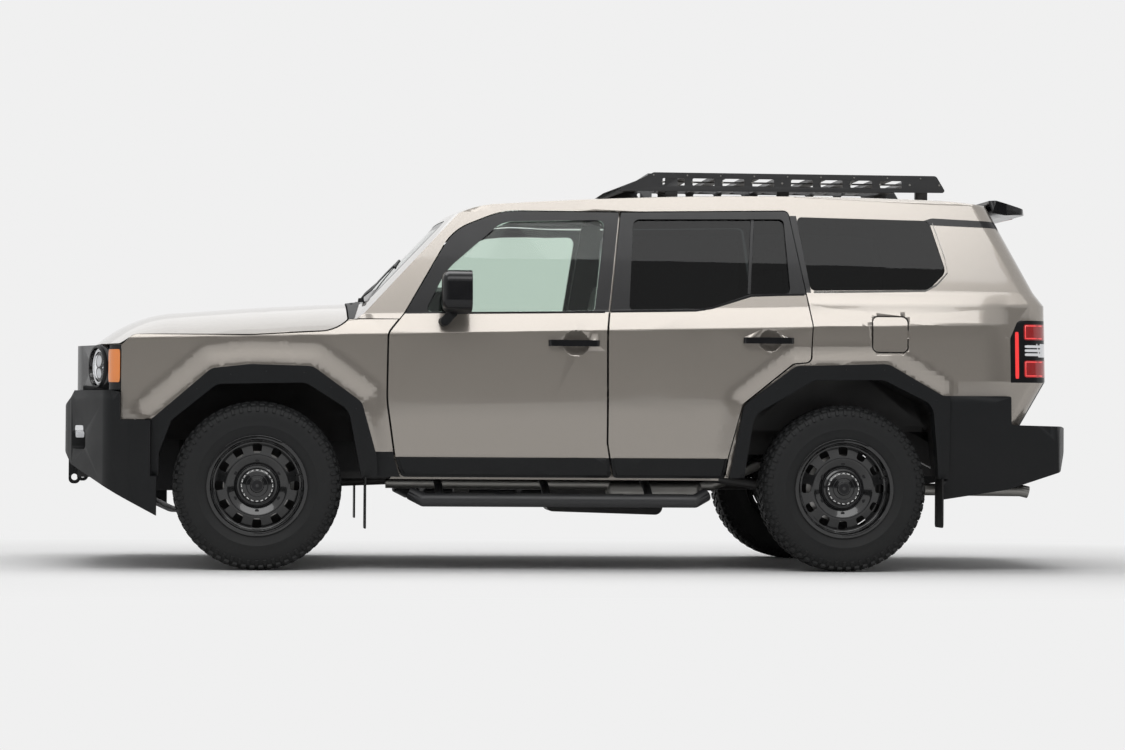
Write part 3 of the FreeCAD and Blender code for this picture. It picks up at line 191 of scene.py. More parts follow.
class SharedEffects:
    """Shader groups that several finishes use, each built once."""

    def __init__(self) -> None:
        """Builds the grain, dust, flake and weave groups."""
        self.grain = self.build_grain()
        self.dust = self.build_dust()
        self.flake = self.build_flake()
        self.weave = self.build_weave()

    def build_grain(self) -> bpy.types.NodeTree:
        """Moulded plastic and cast grain: a height and a tone from two noises."""
        tree = new_group("moulded_grain", {"Scale": 900.0, "Mottle": 3.0}, ("Height", "Tone"))
        co = tree.nodes.new("ShaderNodeTexCoord").outputs["Object"]
        fine = noise_node(tree, co, tree.nodes["in"].outputs["Scale"], 3.0)
        slow = noise_node(tree, co, tree.nodes["in"].outputs["Mottle"], 4.0)
        tree.links.new(fine, tree.nodes["out"].inputs["Height"])
        tree.links.new(slow, tree.nodes["out"].inputs["Tone"])
        return tree

    def build_dust(self) -> bpy.types.NodeTree:
        """Road dust: a mask that fades out upwards and breaks up in patches."""
        tree = new_group("road_dust", {"Top": 0.7, "Amount": 0.3}, ("Mask",))
        co = tree.nodes.new("ShaderNodeTexCoord").outputs["Object"]
        split = tree.nodes.new("ShaderNodeSeparateXYZ")
        tree.links.new(co, split.inputs[0])
        low = math_node(tree, "SUBTRACT", 1.0,
                        math_node(tree, "DIVIDE", split.outputs["Z"], tree.nodes["in"].outputs["Top"]), True)
        patch = math_node(tree, "MULTIPLY", noise_node(tree, co, 7.0, 6.0), noise_node(tree, co, 90.0, 3.0))
        mask = math_node(tree, "MULTIPLY", math_node(tree, "MULTIPLY", low, patch), 4.0)
        mask = math_node(tree, "MULTIPLY", mask, tree.nodes["in"].outputs["Amount"], True)
        tree.links.new(mask, tree.nodes["out"].inputs["Mask"])
        return tree

    def build_flake(self) -> bpy.types.NodeTree:
        """Metal flake: one random value for each tiny cell."""
        tree = new_group("metal_flake", {"Scale": 2600.0}, ("Value",))
        co = tree.nodes.new("ShaderNodeTexCoord").outputs["Object"]
        cells = tree.nodes.new("ShaderNodeTexVoronoi")
        tree.links.new(co, cells.inputs["Vector"])
        tree.links.new(tree.nodes["in"].outputs["Scale"], cells.inputs["Scale"])
        split = tree.nodes.new("ShaderNodeSeparateColor")
        tree.links.new(cells.outputs["Color"], split.inputs[0])
        tree.links.new(split.outputs[0], tree.nodes["out"].inputs["Value"])
        return tree

    def build_weave(self) -> bpy.types.NodeTree:
        """Plain weave: over and under threads along two slanted directions."""
        tree = new_group("plain_weave", {"Scale": 420.0}, ("Height", "Tone"))
        co = tree.nodes.new("ShaderNodeTexCoord").outputs["Object"]
        split = tree.nodes.new("ShaderNodeSeparateXYZ")
        tree.links.new(co, split.inputs[0])
        scale = tree.nodes["in"].outputs["Scale"]
        u = math_node(tree, "MULTIPLY", math_node(tree, "ADD", split.outputs["X"], split.outputs["Z"]),
                      math_node(tree, "MULTIPLY", scale, WAVE))
        v = math_node(tree, "MULTIPLY", math_node(tree, "SUBTRACT", split.outputs["Y"], split.outputs["Z"]),
                      math_node(tree, "MULTIPLY", scale, WAVE))
        height = math_node(tree, "MULTIPLY", math_node(tree, "SINE", u), math_node(tree, "SINE", v))
        tree.links.new(height, tree.nodes["out"].inputs["Height"])
        tree.links.new(noise_node(tree, co, 60.0, 3.0), tree.nodes["out"].inputs["Tone"])
        return tree


EFFECTS = SharedEffects()


class Recipe:
    """A material being built round one Principled BSDF."""

    def __init__(self, name: str, colour: RGB, roughness: float, metallic: float = 0.0) -> None:
        """Starts the material with its plain values.

        Args:
            name: the material's name.
            colour: base colour, linear.
            roughness: the shader's roughness.
            metallic: the shader's metallic value.
        """
        self.material = bpy.data.materials.new(name)
        self.material.use_nodes = True
        self.tree = self.material.node_tree
        self.shader = self.tree.nodes["Principled BSDF"]
        self.colour: RGB = colour
        self.plain(**{"Base Color": (*colour, 1.0), "Roughness": roughness, "Metallic": metallic})
        self.material.diffuse_color = (*colour, 1.0)

    def plain(self, **values: object) -> "Recipe":
        """Sets the shader's own sockets by name and returns the recipe."""
        for key, value in values.items():
            self.shader.inputs[key.replace("__", " ")].default_value = value
        return self

    def group(self, tree: bpy.types.NodeTree, **values: float) -> bpy.types.Node:
        """Places a shared group with its own values.

        Args:
            tree: the shared group.
            **values: its float inputs.

        Returns:
            The group node.
        """
        node = self.tree.nodes.new("ShaderNodeGroup")
        node.node_tree = tree
        for key, value in values.items():
            node.inputs[key].default_value = value
        return node

    def bump(self, height: bpy.types.NodeSocket, strength: float, distance: float = 0.0004) -> "Recipe":
        """Feeds a height through a Bump node into the shader's normal.

        Args:
            height: the height socket.
            strength: the bump's strength.
            distance: the bump's depth in metres.

        Returns:
            The recipe.
        """
        node = self.tree.nodes.new("ShaderNodeBump")
        node.inputs["Strength"].default_value = strength
        node.inputs["Distance"].default_value = distance
        self.tree.links.new(height, node.inputs["Height"])
        self.tree.links.new(node.outputs[0], self.shader.inputs["Normal"])
        return self

    def blend_colour(self, mask: bpy.types.NodeSocket, other: RGB, low: float = 0.0,
                     high: float = 1.0) -> "Recipe":
        """Mixes another colour over what feeds Base Color.

        Args:
            mask: where the other colour shows.
            other: the other colour, linear.
            low: share of the other colour where the mask is 0.
            high: share of the other colour where the mask is 1.

        Returns:
            The recipe.
        """
        span = self.tree.nodes.new("ShaderNodeMapRange")
        span.inputs["To Min"].default_value, span.inputs["To Max"].default_value = low, high
        self.tree.links.new(mask, span.inputs["Value"])
        mix = self.tree.nodes.new("ShaderNodeMix")
        mix.data_type = "RGBA"
        base = self.shader.inputs["Base Color"]
        if base.is_linked:
            self.tree.links.new(base.links[0].from_socket, mix.inputs[6])
        else:
            mix.inputs[6].default_value = (*self.colour, 1.0)
        mix.inputs[7].default_value = (*other, 1.0)
        self.tree.links.new(span.outputs[0], mix.inputs[0])
        self.tree.links.new(mix.outputs[2], base)
        return self

    def vary_roughness(self, mask: bpy.types.NodeSocket, low: float, high: float) -> "Recipe":
        """Lets roughness run from low to high with a mask and returns the recipe."""
        span = self.tree.nodes.new("ShaderNodeMapRange")
        span.inputs["To Min"].default_value, span.inputs["To Max"].default_value = low, high
        self.tree.links.new(mask, span.inputs["Value"])
        self.tree.links.new(span.outputs[0], self.shader.inputs["Roughness"])
        return self


# ---- finishes -----------------------------------------------------------------------------------
@dataclass(frozen=True)
class Finish:
    """A surface finish: its name, colour and roughness."""

    name: str
    colour: RGB
    roughness: float

    def make(self) -> bpy.types.Material:
        """Returns the finish's material, built on first use."""
        found = bpy.data.materials.get(self.name)
        return found if found else self.build()

    def build(self) -> bpy.types.Material:
        """Builds the material; each kind of finish has its own."""
        raise NotImplementedError


@dataclass(frozen=True)
class MetallicPaint(Finish):
    """Clear-coated metallic body paint with fine flake and a little lower dust."""

    flake_colour: RGB = (0.62, 0.58, 0.53)

    def build(self) -> bpy.types.Material:
        """Returns the layered paint material."""
        r = Recipe(self.name, self.colour, self.roughness, 0.62)
        r.plain(Coat__Weight=1.0, Coat__Roughness=0.035, Coat__IOR=1.5)
        flake = r.group(EFFECTS.flake, Scale=2400.0)
        r.blend_colour(flake.outputs["Value"], self.flake_colour, 0.0, 0.3)
        dust = r.group(EFFECTS.dust, Top=0.75, Amount=0.1)
        r.blend_colour(dust.outputs["Mask"], (0.3, 0.27, 0.23))
        r.vary_roughness(dust.outputs["Mask"], self.roughness, 0.6)
        r.bump(flake.outputs["Value"], 0.03, 0.0001)
        return r.material


@dataclass(frozen=True)
class MouldedPlastic(Finish):
    """Grained black plastic, with dust where it is low down."""

    grain: float = 700.0
    depth: float = 0.35
    dust: float = 0.35

    def build(self) -> bpy.types.Material:
        """Returns the grained plastic."""
        r = Recipe(self.name, self.colour, self.roughness)
        grain = r.group(EFFECTS.grain, Scale=self.grain, Mottle=5.0)
        dust = r.group(EFFECTS.dust, Top=0.85, Amount=self.dust)
        r.plain(Specular__IOR__Level=0.22)
        lighter = tuple(c * 1.7 + 0.002 for c in self.colour)
        r.blend_colour(grain.outputs["Tone"], lighter, 0.0, 0.6)
        r.blend_colour(dust.outputs["Mask"], (0.16, 0.145, 0.125), 0.0, 0.5)
        r.vary_roughness(grain.outputs["Tone"], self.roughness - 0.08, self.roughness + 0.12)
        r.bump(grain.outputs["Height"], self.depth)
        return r.material


@dataclass(frozen=True)
class GlossPlastic(Finish):
    """Polished plastic or lacquer with a faint wave and smears."""

    coat: float = 0.6

    def build(self) -> bpy.types.Material:
        """Returns the polished material."""
        r = Recipe(self.name, self.colour, self.roughness)
        r.plain(Coat__Weight=self.coat, Coat__Roughness=0.04, Specular__IOR__Level=0.3)
        grain = r.group(EFFECTS.grain, Scale=120.0, Mottle=8.0)
        r.vary_roughness(grain.outputs["Tone"], self.roughness * 0.7, self.roughness * 1.5)
        r.blend_colour(grain.outputs["Tone"], tuple(c * 1.4 for c in self.colour), 0.0, 0.5)
        r.bump(grain.outputs["Height"], 0.02, 0.0001)
        return r.material


@dataclass(frozen=True)
class Metal(Finish):
    """Bare, plated or painted metal with a grain and faint stains."""

    metallic: float = 1.0
    grain: float = 400.0
    depth: float = 0.1
    stain: RGB = (0.12, 0.1, 0.08)
    stained: float = 0.25

    def build(self) -> bpy.types.Material:
        """Returns the metal."""
        r = Recipe(self.name, self.colour, self.roughness, self.metallic)
        grain = r.group(EFFECTS.grain, Scale=self.grain, Mottle=9.0)
        r.blend_colour(grain.outputs["Tone"], self.stain, 0.0, self.stained)
        r.vary_roughness(grain.outputs["Tone"], self.roughness * 0.7, min(1.0, self.roughness * 1.4))
        r.bump(grain.outputs["Height"], self.depth)
        return r.material


@dataclass(frozen=True)
class Glass(Finish):
    """Solid glass pane or lens."""

    transmission: float = 1.0
    index: float = 1.5

    def build(self) -> bpy.types.Material:
        """Returns the glass, whose colour shifts very slightly over the pane."""
        r = Recipe(self.name, self.colour, self.roughness)
        r.plain(Transmission__Weight=self.transmission, IOR=self.index)
        grain = r.group(EFFECTS.grain, Scale=60.0, Mottle=1.5)
        r.blend_colour(grain.outputs["Tone"], tuple(c * 0.96 for c in self.colour))
        return r.material


@dataclass(frozen=True)
class LampLens(Finish):
    """Coloured moulded lens with fine optic ribs and a little light of its own."""

    glow: float = 0.15
    ribs: float = 260.0

    def build(self) -> bpy.types.Material:
        """Returns the ribbed lens."""
        r = Recipe(self.name, self.colour, self.roughness)
        r.plain(Coat__Weight=1.0, Coat__Roughness=0.02, Emission__Strength=self.glow,
                Emission__Color=(*self.colour, 1.0))
        co = r.tree.nodes.new("ShaderNodeTexCoord").outputs["Object"]
        split = r.tree.nodes.new("ShaderNodeSeparateXYZ")
        r.tree.links.new(co, split.inputs[0])
        rib = math_node(r.tree, "SINE", math_node(r.tree, "MULTIPLY", split.outputs["Z"], self.ribs * WAVE))
        rib = math_node(r.tree, "MULTIPLY", math_node(r.tree, "ADD", rib, 1.0), 0.5)
        r.blend_colour(rib, tuple(c * 0.35 for c in self.colour), 0.0, 0.7)
        r.bump(rib, 0.25, 0.0006)
        return r.material


@dataclass(frozen=True)
class TyreRubber(Finish):
    """Black tyre rubber, dusty and slightly mottled."""

    def build(self) -> bpy.types.Material:
        """Returns the rubber."""
        r = Recipe(self.name, self.colour, self.roughness)
        grain = r.group(EFFECTS.grain, Scale=1100.0, Mottle=14.0)
        dust = r.group(EFFECTS.dust, Top=0.8, Amount=0.25)
        r.plain(Specular__IOR__Level=0.3)
        r.blend_colour(grain.outputs["Tone"], (0.013, 0.0135, 0.014), 0.0, 0.7)
        r.blend_colour(dust.outputs["Mask"], (0.1, 0.094, 0.084), 0.0, 0.15)
        r.vary_roughness(grain.outputs["Tone"], self.roughness - 0.1, self.roughness + 0.1)
        r.bump(grain.outputs["Height"], 0.3)
        return r.material


@dataclass(frozen=True)
class Upholstery(Finish):
    """Woven or hide seat cover."""

    weave: float = 380.0
    leather: bool = False

    def build(self) -> bpy.types.Material:
        """Returns the seat cover material."""
        r = Recipe(self.name, self.colour, self.roughness)
        r.plain(Sheen__Weight=0.15 if self.leather else 0.4)
        if self.leather:
            source = r.group(EFFECTS.grain, Scale=500.0, Mottle=12.0)
        else:
            source = r.group(EFFECTS.weave, Scale=self.weave)
        r.blend_colour(source.outputs["Tone"], tuple(c * 1.8 + 0.01 for c in self.colour), 0.0, 0.6)
        r.bump(source.outputs["Height"], 0.35, 0.0005)
        return r.material


class Coat:
    """Every finish on the car."""

    PAINT = MetallicPaint("taupe_metallic", (0.27, 0.242, 0.212), 0.24)
    PLASTIC = MouldedPlastic("grained_black", (0.005, 0.0056, 0.0064), 0.48, dust=0.06)
    TRIM = MouldedPlastic("cabin_trim", (0.022, 0.022, 0.023), 0.55, 1400.0, 0.2, 0.0)
    HEADLINER = Upholstery("headliner_cloth", (0.1, 0.097, 0.092), 0.9, 600.0)
    GLOSS = GlossPlastic("piano_black", (0.005, 0.005, 0.006), 0.2, 0.1)
    SATIN = GlossPlastic("satin_black", (0.009, 0.009, 0.01), 0.35, 0.0)
    WHEEL = GlossPlastic("wheel_black", (0.006, 0.0062, 0.0066), 0.16, 0.8)
    TINT = Glass("tinted_pane", (0.02, 0.025, 0.025), 0.0, 1.0, 1.28)
    CLEAR = Glass("clear_pane", (0.74, 0.83, 0.77), 0.0, 1.0, 1.3)
    LENS = Glass("lamp_cover", (0.96, 0.97, 0.98), 0.0)
    BRIGHT = Metal("bright_trim", (0.72, 0.72, 0.71), 0.16, 1.0, 300.0, 0.02, (0.4, 0.4, 0.4), 0.1)
    # Bright satin metal for the strip round the quarter window: a painted highlight, standing in for the edge
    # highlight along that window's lower and rear edges.
    BELT = Metal("satin_trim", (0.5, 0.49, 0.47), 0.25, 1.0, 300.0, 0.02, (0.3, 0.29, 0.28), 0.2)
    MIRROR = Metal("mirror_face", (0.86, 0.87, 0.88), 0.02, 1.0, 60.0, 0.0, (0.7, 0.72, 0.74), 0.1)
    STEEL = Metal("bare_steel", (0.32, 0.315, 0.3), 0.38)
    DISC = Metal("brake_disc", (0.42, 0.41, 0.4), 0.3, 1.0, 250.0, 0.15)
    CAST = Metal("cast_alloy", (0.24, 0.24, 0.235), 0.55, 0.8, 350.0, 0.5)
    CHASSIS = Metal("chassis_black", (0.014, 0.014, 0.015), 0.45, 0.0, 300.0, 0.35, (0.05, 0.045, 0.04), 0.4)
    RACK = Metal("powder_black", (0.016, 0.0165, 0.018), 0.42, 0.0, 1600.0, 0.3, (0.035, 0.035, 0.036), 0.5)
    SKID = Metal("pressed_plate", (0.16, 0.16, 0.165), 0.42, 0.9, 300.0, 0.2)
    RED = LampLens("red_lens", (0.34, 0.006, 0.008), 0.1, 0.2)
    RED_LIT = LampLens("red_light_bar", (0.75, 0.03, 0.03), 0.15, 0.8, 500.0)
    AMBER = LampLens("amber_lens", (0.72, 0.2, 0.02), 0.12, 0.35, 200.0)
    WHITE_LENS = LampLens("white_lens", (0.75, 0.76, 0.78), 0.1, 0.25, 320.0)
    RUBBER = TyreRubber("tyre_rubber", (0.0065, 0.007, 0.0076), 0.6)
    SEAL = TyreRubber("seal_rubber", (0.01, 0.01, 0.01), 0.55)
    CLOTH = Upholstery("seat_cloth", (0.03, 0.03, 0.032), 0.85)
    HIDE = Upholstery("stitched_hide", (0.02, 0.02, 0.021), 0.5, 300.0, True)


# ---- mesh helpers -------------------------------------------------------------------------------
Shape = bmesh.types.BMesh
Rule = Callable[[Vector, Vector], int]


def linked(name: str, data: object) -> bpy.types.Object:
    """Returns a new object with its data, linked to the scene."""
    made = bpy.data.objects.new(name, data)
    bpy.context.scene.collection.objects.link(made)
    return made


def mesh_from(bm: Shape, name: str) -> bpy.types.Mesh:
    """Writes a shape into a new mesh and frees the shape."""
    mesh = bpy.data.meshes.new(name)
    bm.to_mesh(mesh)
    bm.free()
    return mesh


def pour(part: Shape, bm: Shape) -> None:
    """Adds one shape to another and frees the first."""
    mesh = mesh_from(part, "part")
    bm.from_mesh(mesh)
    bpy.data.meshes.remove(mesh)


def thicken(bm: Shape, axis: int, sign: float, thick: float) -> None:
    """Faces a sheet one way and gives it thickness.

    Args:
        bm: the sheet.
        axis: the coordinate along which it faces.
        sign: the direction along that axis.
        thick: its thickness in millimetres.
    """
    bmesh.ops.recalc_face_normals(bm, faces=bm.faces)
    if sum(f.normal[axis] for f in bm.faces) * sign < 0:
        bmesh.ops.reverse_faces(bm, faces=bm.faces)
    bmesh.ops.solidify(bm, geom=list(bm.faces), thickness=thick * MM)


def shaded(bm: Shape, name: str, finishes: Iterable[Finish], angle: float) -> bpy.types.Object:
    """Makes a linked object from a shape, in its finishes and with its sharp edges marked."""
    mesh = mesh_from(bm, name)
    for finish in finishes:
        mesh.materials.append(finish.make())
    mesh.shade_smooth()
    mesh.set_sharp_from_angle(angle=math.radians(angle))
    return linked(name, mesh)


def finish_mesh(bm: Shape, name: str, body: str, slot: str, *finishes: Finish, angle: float = 32.0,
                merge: float = MERGE) -> bpy.types.Object:
    """Closes a bmesh into a piece that rides on a body.

    Args:
        bm: the shape; it is freed.
        name: the piece's name.
        body: the CAD body that it rides on.
        slot: the record's material slot; not used.
        *finishes: finishes, in order of the faces' material_index.
        angle: edges sharper than this many degrees stay sharp.
        merge: distance under which doubles are merged.

    Returns:
        The finished object.
    """
    bmesh.ops.remove_doubles(bm, verts=bm.verts, dist=merge)
    bmesh.ops.recalc_face_normals(bm, faces=bm.faces)
    piece = shaded(bm, name, finishes, angle)
    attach(piece, body)
    LOG.info("%s on %s", name, body)
    return piece


def node_shape(node: str) -> Shape:
    """Returns a merged copy of a CAD node's mesh as a bmesh."""
    bm = bmesh.new()
    bm.from_mesh(frame["nodes"][node].data)
    bmesh.ops.remove_doubles(bm, verts=bm.verts, dist=MERGE)
    return bm


def cut_at(bm: Shape, point: Vector, normal: Vector) -> None:
    """Cuts all faces along a plane without removing anything."""
    geom = list(bm.verts) + list(bm.edges) + list(bm.faces)
    bmesh.ops.bisect_plane(bm, geom=geom, dist=ON_PLANE, plane_co=point, plane_no=normal.normalized())


def cut_line(bm: Shape, a: XZ, b: XZ) -> None:
    """Cuts all faces along the upright-to-Y plane through two (x, z) points."""
    cut_at(bm, at(a[0], 0, a[1]), Vector((-(b[1] - a[1]), 0, b[0] - a[0])))


def refinish(node: str, slot: str, finishes: Sequence[Finish], rule: Rule,
             cuts: Iterable[Tuple[XZ, XZ]] = (), angle: float = 32.0,
             shape: Optional[Callable[[Shape], None]] = None,
             planes: Iterable[Tuple[Vector, Vector]] = ()) -> bpy.types.Object:
    """Shows a CAD node as a merged copy whose faces take several finishes.

    Args:
        node: the CAD node.
        slot: the record's material slot; not used.
        finishes: the finishes to choose from.
        rule: gives a face's finish from its centre (mm) and its normal.
        cuts: pairs of (x, z) points; the faces are split along the lines between them.
        angle: edges sharper than this many degrees stay sharp.
        shape: reshapes the copy after its faces have their finishes.
        planes: more cuts, each a point and a normal.

    Returns:
        The copy, which replaces the node.
    """
    bm = node_shape(node)
    for a, b in cuts:
        cut_line(bm, a, b)
    for point, normal in planes:
        cut_at(bm, point, normal)
    for face in bm.faces:
        face.material_index = rule(Vector(mm_of(face.calc_center_median())), face.normal)
    if shape:
        shape(bm)
    piece = shaded(bm, node + "_finished", finishes, angle)
    even = piece.modifiers.new("even_normals", "WEIGHTED_NORMAL")
    even.keep_sharp = True
    body = frame["nodes"][node]["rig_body"]
    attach(piece, body)
    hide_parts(node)
    LOG.info("%s refinished", node)
    return piece


def spun(profile: Sequence[Tuple[float, float]], centre: Vector, axis: Vector, steps: int = 64,
         closed: bool = True) -> Shape:
    """Turns a profile round an axis.

    Args:
        profile: (radius, distance along the axis) points in millimetres.
        centre: the axis's start, in metres.
        axis: the axis's direction.
        steps: how many facets round.
        closed: whether the profile's last point joins its first.

    Returns:
        The turned shape.
    """
    axis = axis.normalized()
    side = axis.orthogonal().normalized()
    bm = bmesh.new()
    verts = [bm.verts.new(centre + side * (r * MM) + axis * (d * MM)) for r, d in profile]
    edges = [bm.edges.new(pair) for pair in zip(verts, verts[1:] + (verts[:1] if closed else []))]
    bmesh.ops.spin(bm, geom=verts + edges, cent=centre, axis=axis, angle=math.tau, steps=steps,
                   use_merge=True)
    bmesh.ops.remove_doubles(bm, verts=bm.verts, dist=0.000005)
    return bm


def block(bm: Shape, lo: Sequence[float], hi: Sequence[float], bevel: float = 0.0, segments: int = 2,
          turn: Optional[Matrix] = None, material: int = 0) -> List[bmesh.types.BMVert]:
    """Adds a box with rounded edges, given by two corners in workshop millimetres.

    Args:
        bm: the mesh that gets the box.
        lo: lowest corner.
        hi: highest corner.
        bevel: radius of the rounded edges in millimetres.
        segments: segments of the rounding.
        turn: a rotation about the box's centre.
        material: the faces' material_index.

    Returns:
        The box's vertices.
    """
    centre = at(*[(a + b) / 2 for a, b in zip(lo, hi)])
    size = Matrix.Diagonal([(b - a) * MM for a, b in zip(lo, hi)] + [1.0])
    place = Matrix.Translation(centre) @ (turn.to_4x4() if turn else Matrix.Identity(4)) @ size
    verts = bmesh.ops.create_cube(bm, size=1.0, matrix=place)["verts"]
    faces = {f for v in verts for f in v.link_faces}
    for face in faces:
        face.material_index = material
    if bevel:
        edges = list({e for v in verts for e in v.link_edges})
        made = bmesh.ops.bevel(bm, geom=edges, offset=bevel * MM, offset_type="OFFSET", affect="EDGES",
                               segments=segments, profile=0.5, material=-1)
        verts = made["verts"]
    return verts


def tube_along(name: str, points: Sequence[Vector], radius: float, body: str, slot: str, finish: Finish,
               sides: int = 3, cyclic: bool = False) -> bpy.types.Object:
    """Makes a round rod or seam that follows points, as a mesh.

    Args:
        name: the piece's name.
        points: control points of its line, in metres.
        radius: its radius in millimetres.
        body: the body that it rides on.
        slot: the record's material slot.
        finish: its finish.
        sides: bevel resolution round the rod.
        cyclic: whether the line closes on itself.

    Returns:
        The piece.
    """
    curve = bpy.data.curves.new(name, "CURVE")
    curve.dimensions, curve.use_fill_caps = "3D", True
    curve.bevel_depth, curve.bevel_resolution = radius * MM, sides
    spline = curve.splines.new("POLY")
    spline.points.add(len(points) - 1)
    for slot_point, p in zip(spline.points, points):
        slot_point.co = (*p, 1.0)
    spline.use_cyclic_u = cyclic
    maker = linked(name + "_line", curve)
    bpy.context.view_layer.update()
    mesh = bpy.data.meshes.new_from_object(maker.evaluated_get(bpy.context.evaluated_depsgraph_get()))
    bpy.data.objects.remove(maker)
    bm = bmesh.new()
    bm.from_mesh(mesh)
    bpy.data.meshes.remove(mesh)
    return finish_mesh(bm, name, body, slot, finish, angle=50.0)


class Skin:
    """The outer skin of some CAD nodes, found by casting rays at it."""

    def __init__(self, *nodes: str) -> None:
        """Builds the search tree.

        Args:
            *nodes: the CAD nodes that make the skin.
        """
        bm = bmesh.new()
        for node in nodes:
            bm.from_mesh(frame["nodes"][node].data)
        self.tree = BVHTree.FromBMesh(bm)
        bm.free()

    def side(self, x: float, z: float, side: Side, proud: float = 0.0) -> Optional[Vector]:
        """Returns the flank's point at (x, z), moved out by proud millimetres."""
        hit = self.tree.ray_cast(at(x, side.value * FAR_OUT, z), Vector((0, -side.value, 0)))[0]
        return hit + Vector((0, side.value * proud * MM, 0)) if hit else None

    def along(self, origin: Vector, direction: Vector, proud: float = 0.0) -> Optional[Vector]:
        """Returns where a ray meets the skin, moved back towards its origin by proud millimetres."""
        hit = self.tree.ray_cast(origin, direction.normalized())[0]
        return hit - direction.normalized() * proud * MM if hit else None

    def open_along(self, point: Vector, normal: Vector, reach: float = 12.0) -> float:
        """Returns how far a ray runs from a point before it meets the skin, in millimetres."""
        distance = self.tree.ray_cast(point + normal * 0.0004, normal, reach)[3]
        return distance / MM if distance is not None else math.inf


def ribbon(name: str, points: Sequence[Vector], width: Vector, thick: Vector, body: str, slot: str,
           finish: Finish) -> bpy.types.Object:
    """Makes a flat strip with rounded long edges along a line of points.

    Args:
        name: the piece's name.
        points: the strip's centre line, in metres.
        width: half its width, as a vector.
        thick: its thickness, as a vector away from the line.
        body: the body that it rides on.
        slot: the record's material slot.
        finish: its finish.

    Returns:
        The piece.
    """
    bm = bmesh.new()
    section = [-width, -width * 0.8 + thick, width * 0.8 + thick, width]
    rings = [[bm.verts.new(p + s) for s in section] for p in points]
    for ring in rings:
        for a, b in zip(ring, ring[1:] + ring[:1]):
            bm.edges.new((a, b))
    for a, b in zip(rings, rings[1:]):
        bmesh.ops.bridge_loops(bm, edges=[e for e in bm.edges if all(v in a or v in b for v in e.verts)])
    bmesh.ops.holes_fill(bm, edges=[e for e in bm.edges if e.is_boundary], sides=8)
    return finish_mesh(bm, name, body, slot, finish, angle=40.0)


def skin_faces(bm: Shape, low: Vector, high: Vector) -> List[bmesh.types.BMFace]:
    """Returns the painted faces on the car's sides between two (x, z) corners."""
    found = []
    for face in bm.faces:
        middle = face.calc_center_median().y
        if face.material_index != 0 or abs(face.normal.y) < 0.8 or face.normal.y * middle < 0:
            continue
        corners = [mm_of(v.co) for v in face.verts]
        if max(c[0] for c in corners) > low.x and min(c[0] for c in corners) < high.x and \
                max(c[2] for c in corners) > low.y and min(c[2] for c in corners) < high.y:
            found.append(face)
    return found


def parts_of(faces: List[bmesh.types.BMFace]) -> List[object]:
    """Returns faces together with their edges and corners, as a cut needs them."""
    return list({e for f in faces for e in f.edges}) + faces + list({v for f in faces for v in f.verts})


def grid_cut(bm: Shape, low: Vector, high: Vector, step: float) -> None:
    """Cuts the painted side skin between two (x, z) corners into small faces."""
    for axis, start, stop in (("x", low.x, high.x), ("z", low.y, high.y)):
        for i in range(1, int((stop - start) / step) + 1):
            place = start + i * step
            faces = skin_faces(bm, low, high)
            geom = parts_of(faces)
            point = at(place, 0, 0) if axis == "x" else at(0, 0, place)
            normal = Vector((1, 0, 0)) if axis == "x" else Vector((0, 0, 1))
            bmesh.ops.bisect_plane(bm, geom=geom, dist=ON_PLANE, plane_co=point, plane_no=normal)


@dataclass(frozen=True)
class QuarterPanel:
    """The rear quarters, brought out to the doors' line with the same shoulder."""

    front: float = 2600.0
    rear: float = 3660.0
    low: float = 600.0
    high: float = 1365.0
    crease: XZ = (1300.0, 1160.0)
    rise: float = 0.02444
    step: float = 24.0

    def lift(self, x: float, z: float) -> float:
        """Returns how far the skin comes out at a point, in millimetres."""
        crease = self.crease[1] + (x - self.crease[0]) * self.rise
        line = 949.0 - (x - 1500.0) ** 2 / 120000.0
        line = line - max(0.0, z - crease) * 0.36 + max(0.0, z - 1283.0) * 0.0975
        line -= max(0.0, 1150.0 - z) * 0.0079 + max(0.0, 770.0 - z) * 0.05
        fade = min(1.0, max(0.0, (self.high - z) / 60.0)) * min(1.0, max(0.0, (self.rear - x) / 110.0))
        return max(0.0, line - self.plain(x, z)) * fade

    @staticmethod
    def plain(x: float, z: float) -> float:
        """Returns the half width of the flat skin as it is."""
        half = 918.0 - 0.015806 * (x - 2720.0) - 0.07475 * (max(z, 935.0) - 935.0)
        half -= max(0.0, z - 1308.0) * 0.242
        return half - max(0.0, 935.0 - z) * 0.034

    def bring_out(self, bm: Shape) -> None:
        """Moves the skin of both quarters out."""
        low, high = Vector((self.front, self.low)), Vector((self.rear + 40, self.high + 20))
        grid_cut(bm, low, high, self.step)
        crease = (at(self.crease[0], 0, self.crease[1]), Vector((-self.rise, 0, 1)))
        faces = skin_faces(bm, low, high)
        geom = parts_of(faces)
        bmesh.ops.bisect_plane(bm, geom=geom, dist=ON_PLANE, plane_co=crease[0],
                               plane_no=crease[1].normalized())
        for v in {v for f in skin_faces(bm, low, high) for v in f.verts}:
            x, y, z = mm_of(v.co)
            if abs(abs(y) - self.plain(x, z)) < 5.0:
                v.co.y += math.copysign(self.lift(x, z) * MM, y)
        REAR_BLISTER.swell(bm)


